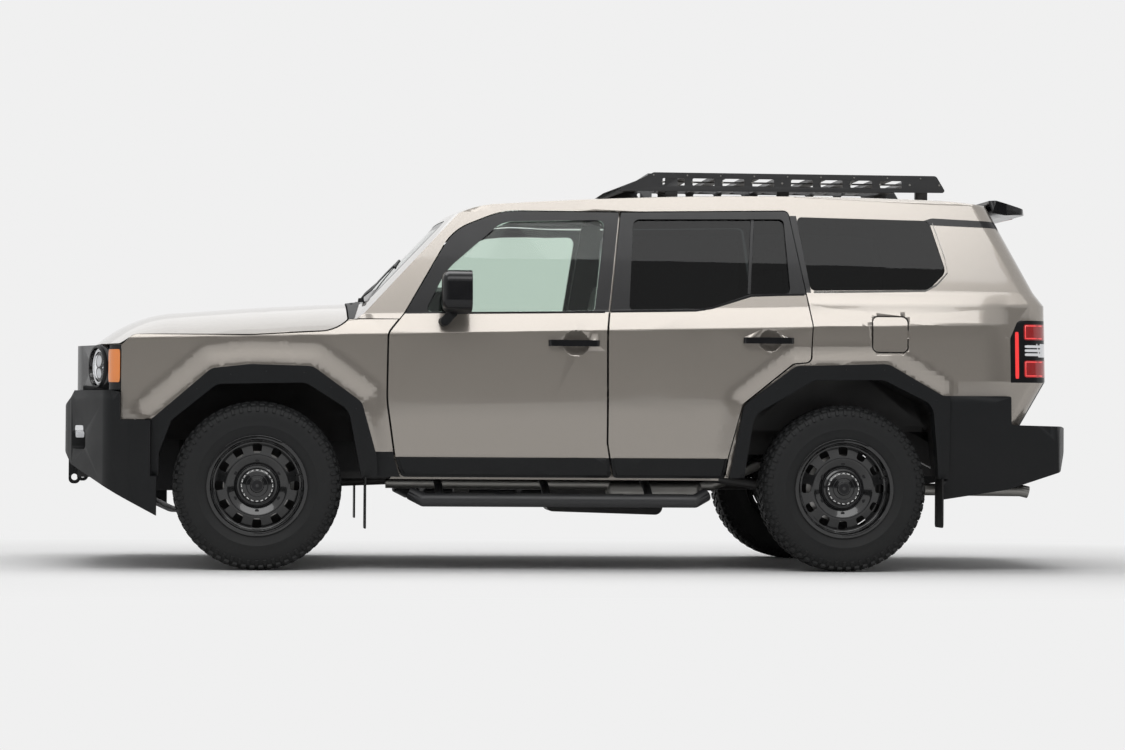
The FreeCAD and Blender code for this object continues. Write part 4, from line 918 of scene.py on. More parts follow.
@dataclass(frozen=True)
class Blister:
    """A soft swelling of the painted skin round a wheel arch."""

    outline: Tuple[XZ, ...]
    height: float
    reach: float
    fade: Tuple[float, float]
    step: float = 26.0

    def distance(self, x: float, z: float) -> float:
        """Returns how far a point of the side view lies from the arch's outline, in millimetres."""
        point = Vector((x, z))
        best = math.inf
        for a, b in zip(self.outline, self.outline[1:]):
            start, run = Vector(a), Vector(b) - Vector(a)
            share = min(1.0, max(0.0, (point - start).dot(run) / run.length_squared))
            best = min(best, (start + run * share - point).length)
        return best

    def swell(self, bm: Shape) -> None:
        """Cuts the skin round the arch into small faces and lifts them.

        Args:
            bm: the panel's merged copy.
        """
        low = Vector((min(p[0] for p in self.outline) - self.reach, min(p[1] for p in self.outline)))
        high = Vector((max(p[0] for p in self.outline) + self.reach,
                       max(p[1] for p in self.outline) + self.reach))
        grid_cut(bm, low, high, self.step)
        for v in {v for f in skin_faces(bm, low, high) for v in f.verts}:
            x, _, z = mm_of(v.co)
            near = max(0.0, 1.0 - (self.distance(x, z) + 24.0) / (self.reach + 24.0))
            edge = min(1.0, max(0.0, (x - self.fade[0]) / 80.0), max(0.0, (self.fade[1] - x) / 80.0))
            v.co.y += math.copysign(self.height * MM, v.co.y) * near * near * (3 - 2 * near) * edge
        bmesh.ops.triangulate(bm, faces=[f for f in bm.faces if len(f.verts) > 4])


FRONT_BLISTER = Blister(((-505, 725), (-222, 972), (-38, 992), (262, 985), (500, 812), (572, 560)),
                        height=27.0, reach=124.0, fade=(-640.0, 640.0), step=20.0)
REAR_BLISTER = Blister(((2283, 480), (2351, 812), (2604, 1003), (3062, 1017), (3334, 862)),
                       height=23.0, reach=100.0, fade=(2150.0, 3420.0), step=22.0)


# ---- studio -------------------------------------------------------------------------------------
@dataclass
class Studio:
    """Camera, floor, soft light and pale surroundings."""

    eye: Vector
    yaw: float = 0.09224
    pitch: float = 0.01435
    roll: float = 0.00698
    lens: float = 105.6
    pale: float = 0.871
    fill: float = 0.34
    fade_start: float = 0.2
    fade_end: float = 2.6

    def build(self) -> None:
        """Makes the whole studio."""
        bpy.context.scene.view_settings.view_transform = "Standard"
        self.camera()
        self.world()
        self.floor()
        self.softbox("overhead_softbox", (-0.2, 0.6, 4.8), (0, 0, 0), (7.0, 3.2), 190.0)
        self.softbox("side_softbox", (-0.8, -5.0, 5.6), (math.radians(43), 0, 0), (9.0, 2.5), 200.0)
        self.softbox("far_softbox", (-1.2, 4.6, 3.6), (math.radians(-52), 0, 0), (7.0, 1.8), 11.0)
        self.card("side_card", (0, -19.5, 2.9), (70, 4.6), 0.05)

    def camera(self) -> None:
        """Sets the camera at its eye point with its three turns."""
        sy, cy, sp, cp = math.sin(self.yaw), math.cos(self.yaw), math.sin(self.pitch), math.cos(self.pitch)
        forward = Vector((sy * cp, cy * cp, sp))
        right = Vector((cy, -sy, 0))
        up = right.cross(forward)
        cr, sr = math.cos(self.roll), math.sin(self.roll)
        right, up = cr * right + sr * up, -sr * right + cr * up
        data = bpy.data.cameras.new("studio_camera")
        data.lens, data.sensor_width = self.lens, 36.0
        camera = linked("studio_camera", data)
        turn = Matrix((right, up, -forward)).transposed()
        camera.matrix_world = Matrix.Translation(self.eye) @ turn.to_4x4()
        bpy.context.scene.camera = camera

    def seen_factor(self, tree: bpy.types.NodeTree) -> bpy.types.NodeSocket:
        """Returns a socket that is 1 on camera, glossy and transmission rays."""
        path = tree.nodes.new("ShaderNodeLightPath")
        total = math_node(tree, "ADD", path.outputs["Is Camera Ray"], path.outputs["Is Glossy Ray"], True)
        return math_node(tree, "ADD", total, path.outputs["Is Transmission Ray"], True)

    def world(self) -> None:
        """Gives pale surroundings to what sees them and plain fill light to the rest."""
        world = bpy.data.worlds.new("studio")
        bpy.context.scene.world = world
        world.use_nodes = True
        tree = world.node_tree
        ground = tree.nodes["Background"]
        ground.inputs["Color"].default_value = (1, 1, 1, 1)
        spread = tree.nodes.new("ShaderNodeMapRange")
        spread.inputs["To Min"].default_value, spread.inputs["To Max"].default_value = self.fill, self.pale
        tree.links.new(self.seen_factor(tree), spread.inputs["Value"])
        tree.links.new(spread.outputs[0], ground.inputs["Strength"])

    def floor(self) -> None:
        """Lays a pale round floor that fades into the surroundings far from the car."""
        bm = bmesh.new()
        bmesh.ops.create_circle(bm, cap_ends=True, segments=96, radius=60.0)
        mesh = mesh_from(bm, "studio_floor")
        floor = linked("studio_floor", mesh)
        material = bpy.data.materials.new("studio_floor")
        material.use_nodes = True
        tree = material.node_tree
        shader = tree.nodes["Principled BSDF"]
        shader.inputs["Base Color"].default_value = (0.86, 0.86, 0.86, 1)
        shader.inputs["Roughness"].default_value = 0.75
        shader.inputs["Specular IOR Level"].default_value = 0.1
        glow = tree.nodes.new("ShaderNodeEmission")
        glow.inputs["Color"].default_value = (1, 1, 1, 1)
        glow.inputs["Strength"].default_value = self.pale
        split = tree.nodes.new("ShaderNodeSeparateXYZ")
        tree.links.new(tree.nodes.new("ShaderNodeTexCoord").outputs["Object"], split.inputs[0])
        beside = tree.nodes.new("ShaderNodeCombineXYZ")
        for axis, half in (("X", 2.3), ("Y", 0.9)):
            past = math_node(tree, "SUBTRACT", math_node(tree, "ABSOLUTE", split.outputs[axis]), half)
            tree.links.new(math_node(tree, "MAXIMUM", past, 0.0), beside.inputs[axis])
        length = tree.nodes.new("ShaderNodeVectorMath")
        length.operation = "LENGTH"
        tree.links.new(beside.outputs[0], length.inputs[0])
        fade = tree.nodes.new("ShaderNodeMapRange")
        fade.interpolation_type = "SMOOTHSTEP"
        fade.inputs["From Min"].default_value = self.fade_start
        fade.inputs["From Max"].default_value = self.fade_end
        tree.links.new(length.outputs["Value"], fade.inputs["Value"])
        mix = tree.nodes.new("ShaderNodeMixShader")
        factor = math_node(tree, "MULTIPLY", fade.outputs[0], self.seen_factor(tree))
        tree.links.new(factor, mix.inputs[0])
        tree.links.new(shader.outputs[0], mix.inputs[1])
        tree.links.new(glow.outputs[0], mix.inputs[2])
        tree.links.new(mix.outputs[0], tree.nodes["Material Output"].inputs["Surface"])
        mesh.materials.append(material)

    def softbox(self, name: str, place: Sequence[float], turn: Sequence[float], size: Tuple[float, float],
                power: float) -> None:
        """Hangs a soft rectangular lamp.

        Args:
            name: the lamp's name.
            place: where it hangs, in metres.
            turn: its Euler angles.
            size: its two sides in metres.
            power: its power in watts.
        """
        data = bpy.data.lights.new(name, "AREA")
        data.shape, data.size, data.size_y, data.energy = "RECTANGLE", size[0], size[1], power
        lamp = linked(name, data)
        lamp.location, lamp.rotation_euler = place, turn

    def card(self, name: str, place: Sequence[float], size: Tuple[float, float], tone: float) -> None:
        """Stands a grey card where only reflections see it.

        Args:
            name: the card's name.
            place: its centre in metres.
            size: width and height in metres.
            tone: its brightness.
        """
        bm = bmesh.new()
        stretch = Matrix.Diagonal((size[0] / 2, size[1] / 2, 1, 1))
        place_matrix = Matrix.Translation(place) @ UPRIGHT @ stretch
        bmesh.ops.create_grid(bm, x_segments=1, y_segments=1, size=1.0, matrix=place_matrix)
        mesh = mesh_from(bm, name)
        material = bpy.data.materials.new(name)
        material.use_nodes = True
        tree = material.node_tree
        glow = tree.nodes.new("ShaderNodeEmission")
        glow.inputs["Strength"].default_value = tone
        tree.links.new(glow.outputs[0], tree.nodes["Material Output"].inputs["Surface"])
        mesh.materials.append(material)
        card = linked(name, mesh)
        card.visible_camera = card.visible_diffuse = card.visible_transmission = card.visible_shadow = False


# ---- body panels --------------------------------------------------------------------------------
OUTER_NODES = ("body_shell", "front_door_left", "front_door_right", "rear_door_left", "rear_door_right",
               "front_door_glass_left", "front_door_glass_right", "rear_door_glass_left",
               "rear_door_glass_right", "bonnet", "tailgate", "tailgate_glass", "windscreen",
               "quarter_glass", "front_fender_left", "front_fender_right", "tail_lights", "fuel_flap",
               "rear_bumper")


@dataclass
class BodyPanels:
    """Painted panels: which faces are paint, frame black, cladding or trim."""

    clad_top: float = 548.0
    fender_clad: float = 573.0
    belt: Tuple[XZ, XZ] = ((630.0, 1238.0), (1700.0, 1256.0))
    rear_belt: Tuple[XZ, XZ] = ((1700.0, 1258.0), (2160.0, 1268.0))
    rear_kick: Tuple[XZ, XZ] = ((2160.0, 1268.0), (2400.0, 1345.0))
    rear_top: Tuple[XZ, XZ] = ((2400.0, 1345.0), (2690.0, 1352.0))
    quarter_front: Tuple[XZ, XZ] = ((2632.0, 1738.0), (2690.0, 1372.0))
    pillar_strip: Tuple[Tuple[XZ, XZ], ...] = (((3300.0, 1742.0), (3560.0, 1731.0)),
                                               ((3300.0, 1706.0), (3560.0, 1697.0)))
    front_handle: Tuple[float, float] = (1521.0, 1103.0)
    rear_handle: Tuple[float, float] = (2472.0, 1124.0)
    handle: Tuple[float, float] = (125.0, 15.0)

    def build(self) -> None:
        """Dresses every painted panel."""
        self.skin = Skin(*OUTER_NODES)
        for side in Side:
            self.door("front", side)
            self.door("rear", side)
            refinish("front_fender_" + side.word, "paint", (Coat.PAINT, Coat.CHASSIS, Coat.PLASTIC),
                     self.panel_rule(side),
                     [((0.0, self.fender_clad), (100.0, self.fender_clad))], shape=FRONT_BLISTER.swell)
        refinish("bonnet", "paint", (Coat.PAINT, Coat.CHASSIS),
                 lambda c, n: 1 if n.z < -0.35 and n.x > -0.8 else 0)
        refinish("fuel_flap", "paint", (Coat.PAINT, Coat.PLASTIC), lambda c, n: 1 if n.y > 0.5 else 0)
        self.shell()
        self.tail()

    def panel_rule(self, side: Side) -> Rule:
        """Returns the rule for a fender: paint outside, black inside."""
        return lambda c, n: 2 if c.z < self.fender_clad and c.x > 380 else 1 if n.y * side.value < -0.2 else 0

    @staticmethod
    def over(c: Vector, line: Tuple[XZ, XZ]) -> bool:
        """Tells whether a point lies above a line in the side view."""
        (x0, z0), (x1, z1) = line
        return c.z > z0 + (z1 - z0) * (c.x - x0) / (x1 - x0)

    @staticmethod
    def before(c: Vector, line: Tuple[XZ, XZ]) -> bool:
        """Tells whether a point lies ahead of a steep line in the side view."""
        (x0, z0), (x1, z1) = line
        return c.x < x0 + (x1 - x0) * (c.z - z0) / (z1 - z0)

    def door(self, which: str, side: Side) -> None:
        """Dresses a door.

        Args:
            which: "front" or "rear".
            side: the car's side.
        """
        front = which == "front"
        hx, hz = self.front_handle if front else self.rear_handle
        half, high = self.handle
        bowl = Vector((hx + 10, side.value * 1018, hz))
        lines = [self.belt] if front else [self.rear_belt, self.rear_kick, self.rear_top]

        def above_belt(c: Vector) -> bool:
            if front:
                return self.over(c, self.belt)
            line = self.rear_belt if c.x < 2160 else self.rear_kick if c.x < 2400 else self.rear_top
            return self.over(c, line)

        def rule(c: Vector, n: Vector) -> int:
            out = c.y * side.value
            if abs(c.x - hx) < half + 4 and abs(c.z - hz) < high + 3:
                in_bowl = out > 925 and (c - bowl).length < 94.0
                if in_bowl or out > 951:
                    return 1
            if above_belt(c):
                return 1 if n.y * side.value > -0.6 else 3
            if c.z < self.clad_top + 1 and out > 800 and n.y * side.value > -0.5:
                return 2
            return 3 if n.y * side.value < -0.75 and out < 900 else 0

        cuts = lines + [((0.0, self.clad_top + 0.5), (100.0, self.clad_top + 0.5))]
        refinish(f"{which}_door_{side.word}", "paint", (Coat.PAINT, Coat.GLOSS, Coat.PLASTIC, Coat.TRIM),
                 rule, cuts, 20.0, None if front else REAR_BLISTER.swell)

    def shell(self) -> None:
        """Dresses the body shell by what each face looks out on."""
        strip_low = ((2400.0, 1362.0), (2500.0, 1362.0))
        strip_high = ((2400.0, 1744.0), (2500.0, 1744.0))

        def rule(c: Vector, n: Vector) -> int:
            outward = n.y * math.copysign(1.0, c.y)
            if c.z < 585 and n.z < -0.5 or (c.z < 560 and abs(c.y) < 790):
                return 2
            if self.in_arch(c) and (outward < 0.8 or abs(c.y) < 860):
                return 2
            reach = self.skin.open_along(at(*c), n)
            if math.isinf(reach):
                by_quarter = 2550 < c.x < 2700 and 1362 < c.z < 1744
                if outward > 0.3 and by_quarter and self.before(c, self.quarter_front):
                    return 3
                high, low = self.pillar_strip
                if c.x > 3290 and abs(c.y) > 600 and self.over(c, low) and not self.over(c, high):
                    return 3
                if c.z < 1000 and n.z < 0.2 and abs(outward) < 0.5 and abs(n.x) < 0.9:
                    return 2
                return 0 if outward > 0.15 or n.z > 0.3 or abs(n.x) > 0.5 or c.z > 1750 else 1
            if reach < 45:
                return 0
            return 4 if c.z > 1600 and n.z < -0.6 else 1

        refinish("body_shell", "paint", (Coat.PAINT, Coat.TRIM, Coat.CHASSIS, Coat.GLOSS, Coat.HEADLINER),
                 rule, [strip_low, strip_high, self.quarter_front, *self.pillar_strip], 28.0,
                 QuarterPanel().bring_out)

    @staticmethod
    def in_arch(c: Vector) -> bool:
        """Tells whether a point is inside a wheel's room."""
        return 480 < abs(c.y) < 905 and c.z < 1080 and (abs(c.x) < 640 or abs(c.x - REAR_AXLE) < 560)

    def tail(self) -> None:
        """Dresses the tailgate: paint outside, black window frame, trim inside."""
        def rule(c: Vector, n: Vector) -> int:
            if n.x < -0.4:
                return 2
            return 1 if c.z > 1378 else 0

        refinish("tailgate", "paint", (Coat.PAINT, Coat.GLOSS, Coat.TRIM), rule,
                 [((0.0, 1378.0), (100.0, 1378.0))], 28.0)


def dress(finish: Finish, *nodes: str) -> None:
    """Gives CAD nodes that keep their own mesh a finish."""
    for node in nodes:
        mesh = frame["nodes"][node].data
        mesh.materials.clear()
        mesh.materials.append(finish.make())
        LOG.info("%s dressed in %s", node, finish.name)


def smooth_node(node: str, slot: str, finish: Finish, angle: float = 32.0) -> bpy.types.Object:
    """Shows a CAD node as a merged, smoothly shaded copy in one finish."""
    return refinish(node, slot, (finish,), lambda c, n: 0, (), angle)


@dataclass
class PlainNodes:
    """CAD nodes whose own shape shows, each in its finish."""

    def build(self) -> None:
        """Dresses the nodes."""
        for axle in ("front", "rear"):
            smooth_node(axle + "_arch_flares", "black_plastic", Coat.PLASTIC)
            smooth_node(axle + "_bumper", "black_plastic", Coat.PLASTIC)
        for node, slot, finish in (("cowl", "black_plastic", Coat.PLASTIC),
                                   ("grille", "gloss_black", Coat.GLOSS),
                                   ("side_steps", "black_steel", Coat.RACK),
                                   ("roof_rack", "black_steel", Coat.RACK),
                                   ("exhaust", "steel", Coat.STEEL)):
            smooth_node(node, slot, finish)
        refinish("rear_spoiler", "gloss_black", (Coat.GLOSS,), lambda c, n: 0, shape=self.thin_spoiler)
        dress(Coat.CHASSIS, "ladder_frame", "rear_springs", "fuel_tank")
        dress(Coat.CAST, "engine_block", "knuckle_left", "knuckle_right", "front_suspension")
        dress(Coat.CHASSIS, "rear_axle", "drive_shafts")
        dress(Coat.SKID, "skid_plate")
        dress(Coat.SEAL, "mud_flaps")
        dress(Coat.TRIM, "dashboard")
        dress(Coat.HIDE, "steering_wheel")
        for node in ("front_door_glass_left", "front_door_glass_right"):
            smooth_node(node, "clear_glass", Coat.CLEAR)
        self.screen()
        for node in ("rear_door_glass_left", "rear_door_glass_right", "quarter_glass", "tailgate_glass"):
            smooth_node(node, "privacy_glass", Coat.TINT)
        self.lamps()

    def screen(self) -> None:
        """Dresses the windscreen, with the black band printed round its edge."""
        slant, half = 0.158, 572.0

        def rule(c: Vector, n: Vector) -> int:
            return 1 if abs(c.y) > half - (c.z - 1300) * slant or c.z < 1372 or c.z > 1676 else 0

        planes = [(at(0, s * half, 1300), Vector((0, 1, s * slant))) for s in (-1, 1)]
        refinish("windscreen", "clear_glass", (Coat.CLEAR, Coat.GLOSS), rule,
                 [((0, 1372), (100, 1372)), ((0, 1676), (100, 1676))], planes=planes)

    @staticmethod
    def thin_spoiler(bm: Shape) -> None:
        """Draws the spoiler in and thins it towards its tip."""
        xs = [mm_of(v.co)[0] for v in bm.verts]
        start, stop = min(xs), max(xs)
        for v in bm.verts:
            x, y, z = mm_of(v.co)
            share = (x - start) / (stop - start)
            v.co = at(start + (x - start) * (1 - 85.0 / (stop - start)), y,
                      z + (1793.0 - z) * 0.6 * share - 22.0 * share)

    def lamps(self) -> None:
        """Dresses lamp housings and lenses, and the mirrors."""
        def head(c: Vector, n: Vector) -> int:
            axis = Vector((-math.cos(LAMP_TOE), math.copysign(math.sin(LAMP_TOE), c.y), 0))
            to = c - Vector((LAMP_CENTRE[0], math.copysign(LAMP_CENTRE[1], c.y), LAMP_CENTRE[2]))
            along = to.dot(axis)
            radial = (to - axis * along).length
            return 1 if radial < 91.5 and -31 < along else 2 if radial < 104 and along > -12.5 else 0

        refinish("headlights", "lamp_clear", (Coat.GLOSS, Coat.LENS, Coat.SATIN), head)
        smooth_node("tail_lights", "lamp_red", Coat.GLOSS)
        for side in Side:
            def mirror(c: Vector, n: Vector, side: Side = side) -> int:
                if c.x > 1004 and n.x > 0.9:
                    return 1
                return 2 if c.z < 1262 else 0

            refinish("mirror_" + side.word, "gloss_black", (Coat.GLOSS, Coat.MIRROR, Coat.PLASTIC), mirror,
                     [((0, 1262), (100, 1262))])


# ---- wheels -------------------------------------------------------------------------------------
@dataclass
class Wheel:
    """One wheel: rubber carcass with tread blocks, rim, trim ring and cap."""

    axle: Axle
    side: Side
    crown: float = 398.0
    blocks: int = 58
    half: float = 122.5
    bead: float = 228.0
    hub_y: float = 832.0
    radius: float = 406.0

    @property
    def body(self) -> str:
        """Returns the body's name."""
        return f"wheel_{self.axle.word}_{self.side.word}"

    @property
    def hub(self) -> Vector:
        """Returns the wheel's centre in metres."""
        return at(self.axle.value, self.side.value * self.hub_y, self.radius)

    @property
    def out(self) -> Vector:
        """Returns the axis pointing away from the car."""
        return Vector((0, self.side.value, 0))

    def build(self) -> None:
        """Builds the whole wheel."""
        self.tyre()
        self.rim()
        self.trim()

    def tyre(self) -> None:
        """Turns the carcass and sets the tread blocks round it."""
        h, r = self.half, self.bead
        profile = [(r + 0.6, -102), (r + 0.6, 102), (r + 15.5, 105), (r + 22, 106), (r + 40, 115.5),
                   (r + 58, 119.5), (r + 60, 121), (r + 66, 121), (r + 68, 120.5), (318, h - 0.5),
                   (340, h - 1.5), (356, 119), (372, 114), (386, 103), (393, 92), (self.crown, 78),
                   (self.crown, 50), (self.crown - 7, 48), (self.crown - 7, 40), (self.crown, 38),
                   (self.crown, 6), (self.crown - 7, 4)]
        profile += [(a, -b) for a, b in reversed(profile[4:])]
        profile += [(r + 22, -106), (r + 15.5, -105)]
        bm = spun(profile, self.hub, self.out, 120)
        self.tread(bm)
        piece = finish_mesh(bm, "tyre_cover_" + self.axle.word + "_" + self.side.word, self.body, "tyre",
                            Coat.RUBBER, angle=28.0)
        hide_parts("tyre_" + self.axle.word + "_" + self.side.word)

    def tread(self, bm: Shape) -> None:
        """Adds the tread: centre, intermediate and shoulder blocks, each a bevelled block spun round."""
        rows = [(-23.0, 17.0, 26.0, 12.0, 0.0), (23.0, 17.0, 26.0, -12.0, 0.5),
                (-66.0, 14.0, 24.0, -18.0, 0.25), (66.0, 14.0, 24.0, 18.0, 0.75)]
        x, z, side = self.axle.value, self.radius, self.side.value
        for y, half_y, long, skew, phase in rows:
            part = bmesh.new()
            turn = Matrix.Rotation(math.radians(skew), 3, "Z")
            yc = side * (self.hub_y + y)
            block(part, (x - long / 2, yc - half_y, z + self.crown - 5),
                  (x + long / 2, yc + half_y, z + 405.6), 1.6, 1, turn)
            self.ring(bm, part, phase)
        for sign in (-1, 1):
            part = bmesh.new()
            yc = side * (self.hub_y + sign * 97)
            tilt = Matrix.Rotation(math.radians(-side * sign * 24), 3, "X")
            block(part, (x - 13, yc - 14, z + 378), (x + 13, yc + 13, z + 398), 2.2, 1, tilt)
            self.ring(bm, part, 0.5)
            part = bmesh.new()
            yc = side * (self.hub_y + sign * 114)
            tilt = Matrix.Rotation(math.radians(-side * sign * 68), 3, "X")
            block(part, (x - 8, yc - 14, z + 362), (x + 8, yc + 12, z + 374), 2.0, 1, tilt)
            self.ring(bm, part, 0.0)

    def ring(self, bm: Shape, part: Shape, phase: float) -> None:
        """Repeats a block round the wheel and adds it to the tyre.

        Args:
            bm: the tyre.
            part: one block at the top of the wheel; it is freed.
            phase: share of the pitch by which the row starts late.
        """
        pitch = math.tau / self.blocks
        bmesh.ops.rotate(part, verts=part.verts, cent=self.hub,
                         matrix=Matrix.Rotation(pitch * phase, 3, "Y"))
        bmesh.ops.spin(part, geom=list(part.verts) + list(part.edges) + list(part.faces), cent=self.hub,
                       axis=Vector((0, 1, 0)),
                       angle=math.tau - pitch, steps=self.blocks - 1, use_duplicate=True)
        pour(part, bm)

    def rim(self) -> None:
        """Dresses the rim: black lacquer, with the brake disc in metal."""
        def rule(c: Vector, n: Vector) -> int:
            local = Vector((c.x - self.axle.value, 0, c.z - self.radius)).length
            y = c.y * self.side.value - self.hub_y
            return 1 if local < 166.5 and y < 36 else 0

        refinish(f"rim_{self.axle.word}_{self.side.word}", "rim_black", (Coat.WHEEL, Coat.DISC), rule, (),
                 30.0)

    def local(self, radius: float, out: float, angle: float) -> Vector:
        """Returns a wheel point from its radius, its way out of the centre plane and its angle in degrees."""
        a = math.radians(angle)
        return self.hub + Vector((math.cos(a) * radius, self.side.value * out, math.sin(a) * radius)) * MM

    def trim(self) -> None:
        """Adds the cap's rings, its dashed bright ring, the centre cap, nuts and valve."""
        name = self.axle.word + "_" + self.side.word
        bm = bmesh.new()
        for r, o, wide in ((52.0, 88.5, 2.2), (86.0, 78.0, 2.4), (100.5, 60.0, 2.0)):
            part = spun([(r - wide, o - 2), (r - wide, o + 1), (r, o + 2.2), (r + wide, o + 1),
                         (r + wide, o - 2)], self.hub, self.out, 72)
            pour(part, bm)
        finish_mesh(bm, "cap_rings_" + name, self.body, "rim_black", Coat.SATIN)
        dashes = bmesh.new()
        x, z, side = self.axle.value, self.radius, self.side.value
        low, high = sorted((side * (self.hub_y + 80.5), side * (self.hub_y + 84.5)))
        block(dashes, (x - 6.5, low, z + 72), (x + 6.5, high, z + 77), 1.0, 2)
        bmesh.ops.spin(dashes, geom=list(dashes.verts) + list(dashes.edges) + list(dashes.faces),
                       cent=self.hub, axis=Vector((0, 1, 0)),
                       angle=math.tau * 19 / 20, steps=19, use_duplicate=True)
        finish_mesh(dashes, "cap_dashes_" + name, self.body, "steel", Coat.BRIGHT)
        cap = spun([(0.01, 97.0), (12, 98.5), (24, 98.6), (28, 97.6), (30, 95), (0.01, 95)], self.hub,
                   self.out, 48)
        finish_mesh(cap, "centre_cap_" + name, self.body, "rim_black", Coat.SATIN)
        nuts = bmesh.new()
        for i in range(6):
            p = self.local(122.0, 55.0, 30 + 60 * i)
            matrix = Matrix.Translation(p) @ UPRIGHT
            made = bmesh.ops.create_cone(nuts, cap_ends=True, segments=6, radius1=11 * MM, radius2=11 * MM,
                                         depth=22 * MM, matrix=matrix)["verts"]
            bmesh.ops.bevel(nuts, geom=list({e for v in made for e in v.link_edges}), offset=1.2 * MM,
                            affect="EDGES", segments=2, profile=0.5, material=-1)
        finish_mesh(nuts, "wheel_nuts_" + name, self.body, "steel", Coat.SATIN)
        valve = bmesh.new()
        direction = (self.local(300, 92, 15) - self.local(205, 70, 15)).normalized()
        turn = direction.to_track_quat("Z", "Y").to_matrix().to_4x4()
        matrix = Matrix.Translation(self.local(206, 72, 15)) @ turn
        bmesh.ops.create_cone(valve, cap_ends=True, segments=16, radius1=4.6 * MM, radius2=3.6 * MM,
                              depth=22 * MM, matrix=matrix)
        finish_mesh(valve, "valve_" + name, self.body, "rim_black", Coat.SEAL)


# ---- lamps, trim and glass edges ----------------------------------------------------------------
def skin_patch(name: str, skin: Skin, corner: XZ, far: XZ, side: Side, proud: float, thick: float,
               body: str, slot: str, finish: Finish,
               round_off: float = 8.0, steps: Tuple[int, int] = (8, 8)) -> Optional[bpy.types.Object]:
    """Lays a rounded plate on the car's side, following the skin.

    Args:
        name: the piece's name.
        skin: what it lies on.
        corner: its lowest front (x, z).
        far: its highest rear (x, z).
        side: the car's side.
        proud: how far its outer face stands off the skin.
        thick: its thickness.
        body: the body that it rides on.
        slot: the record's material slot.
        finish: its finish.
        round_off: bevel of its outer corners.
        steps: how many faces along and up.

    Returns:
        The piece.
    """
    bm = bmesh.new()
    middle = at((corner[0] + far[0]) / 2, 0, (corner[1] + far[1]) / 2)
    size = Matrix.Diagonal(((far[0] - corner[0]) * MM / 2, (far[1] - corner[1]) * MM / 2, 1, 1))
    bmesh.ops.create_grid(bm, x_segments=steps[0], y_segments=steps[1], size=1.0,
                          matrix=Matrix.Translation(middle) @ UPRIGHT @ size)
    for v in list(bm.verts):
        x, _, z = mm_of(v.co)
        fx = max(0.0, corner[0] + round_off - x, x - far[0] + round_off)
        fz = max(0.0, corner[1] + round_off - z, z - far[1] + round_off)
        if fx > 0 and fz > 0:
            scale = round_off / max(round_off, math.hypot(fx, fz))
            x += math.copysign(fx * (1 - scale), (corner[0] + far[0]) / 2 - x)
            z += math.copysign(fz * (1 - scale), (corner[1] + far[1]) / 2 - z)
        hit = skin.side(x, z, side, proud)
        if hit is None:
            bm.verts.remove(v)
        else:
            v.co = hit
    if not bm.faces:
        bm.free()
        return None
    thicken(bm, 1, side.value, thick)
    return finish_mesh(bm, name, body, slot, finish, angle=40.0)


@dataclass
class Mouldings:
    """Strips along the window line and the rear doors' window dividers; the bright satin strip round the
    quarter window is a painted highlight, standing in for that window's edge highlight.
    """

    front: Tuple[XZ, ...] = ((652.0, 1239.5), (900.0, 1243.5), (1150.0, 1247.5), (1400.0, 1251.5),
                             (1674.0, 1256.0))
    rear: Tuple[XZ, ...] = ((1702.0, 1258.5), (1930.0, 1263.0), (2120.0, 1267.5), (2200.0, 1281.0),
                            (2300.0, 1313.0), (2395.0, 1343.0), (2520.0, 1348.5), (2655.0, 1352.0))
    quarter: Tuple[XZ, ...] = ((2704.0, 1365.0), (2900.0, 1369.0), (3100.0, 1373.5), (3262.0, 1378.0),
                               (3320.0, 1408.0), (3376.0, 1468.0), (3366.0, 1540.0), (3336.0, 1640.0),
                               (3312.0, 1716.0))
    divider: Tuple[XZ, ...] = ((2384.0, 1352.0), (2390.0, 1440.0), (2398.0, 1540.0), (2406.0, 1640.0),
                               (2413.0, 1722.0))

    def build(self) -> None:
        """Lays the strips on both sides."""
        for side in Side:
            word = side.word
            up = Vector((0, 0, 5.5 * MM))
            out = Vector((0, side.value * 2.6 * MM, 0))
            for which, line, nodes, body in (("front", self.front, (f"front_door_{word}",),
                                              f"door_front_{word}"),
                                             ("rear", self.rear, (f"rear_door_{word}",),
                                              f"door_rear_{word}"),
                                             ("quarter", self.quarter, ("body_shell",), "chassis")):
                skin = Skin(*nodes)
                points = [p for p in (skin.side(x, z, side, -0.4) for x, z in line) if p]
                # The quarter window's strip is bright satin metal, a painted highlight that stands in for the
                # window's edge highlight; the door strips are satin black.
                bright = which == "quarter"
                ribbon(f"belt_strip_{which}_{word}", points, up, out, body,
                       "steel" if bright else "gloss_black", Coat.BELT if bright else Coat.SATIN)
            skin = Skin(f"rear_door_glass_{word}")
            points = [p for p in (skin.side(x, z, side, -0.5) for x, z in self.divider) if p]
            ribbon(f"window_divider_{word}", points, Vector((9.0 * MM, 0, 0)),
                   Vector((0, side.value * 6 * MM, 0)), f"door_rear_{word}", "gloss_black", Coat.GLOSS)


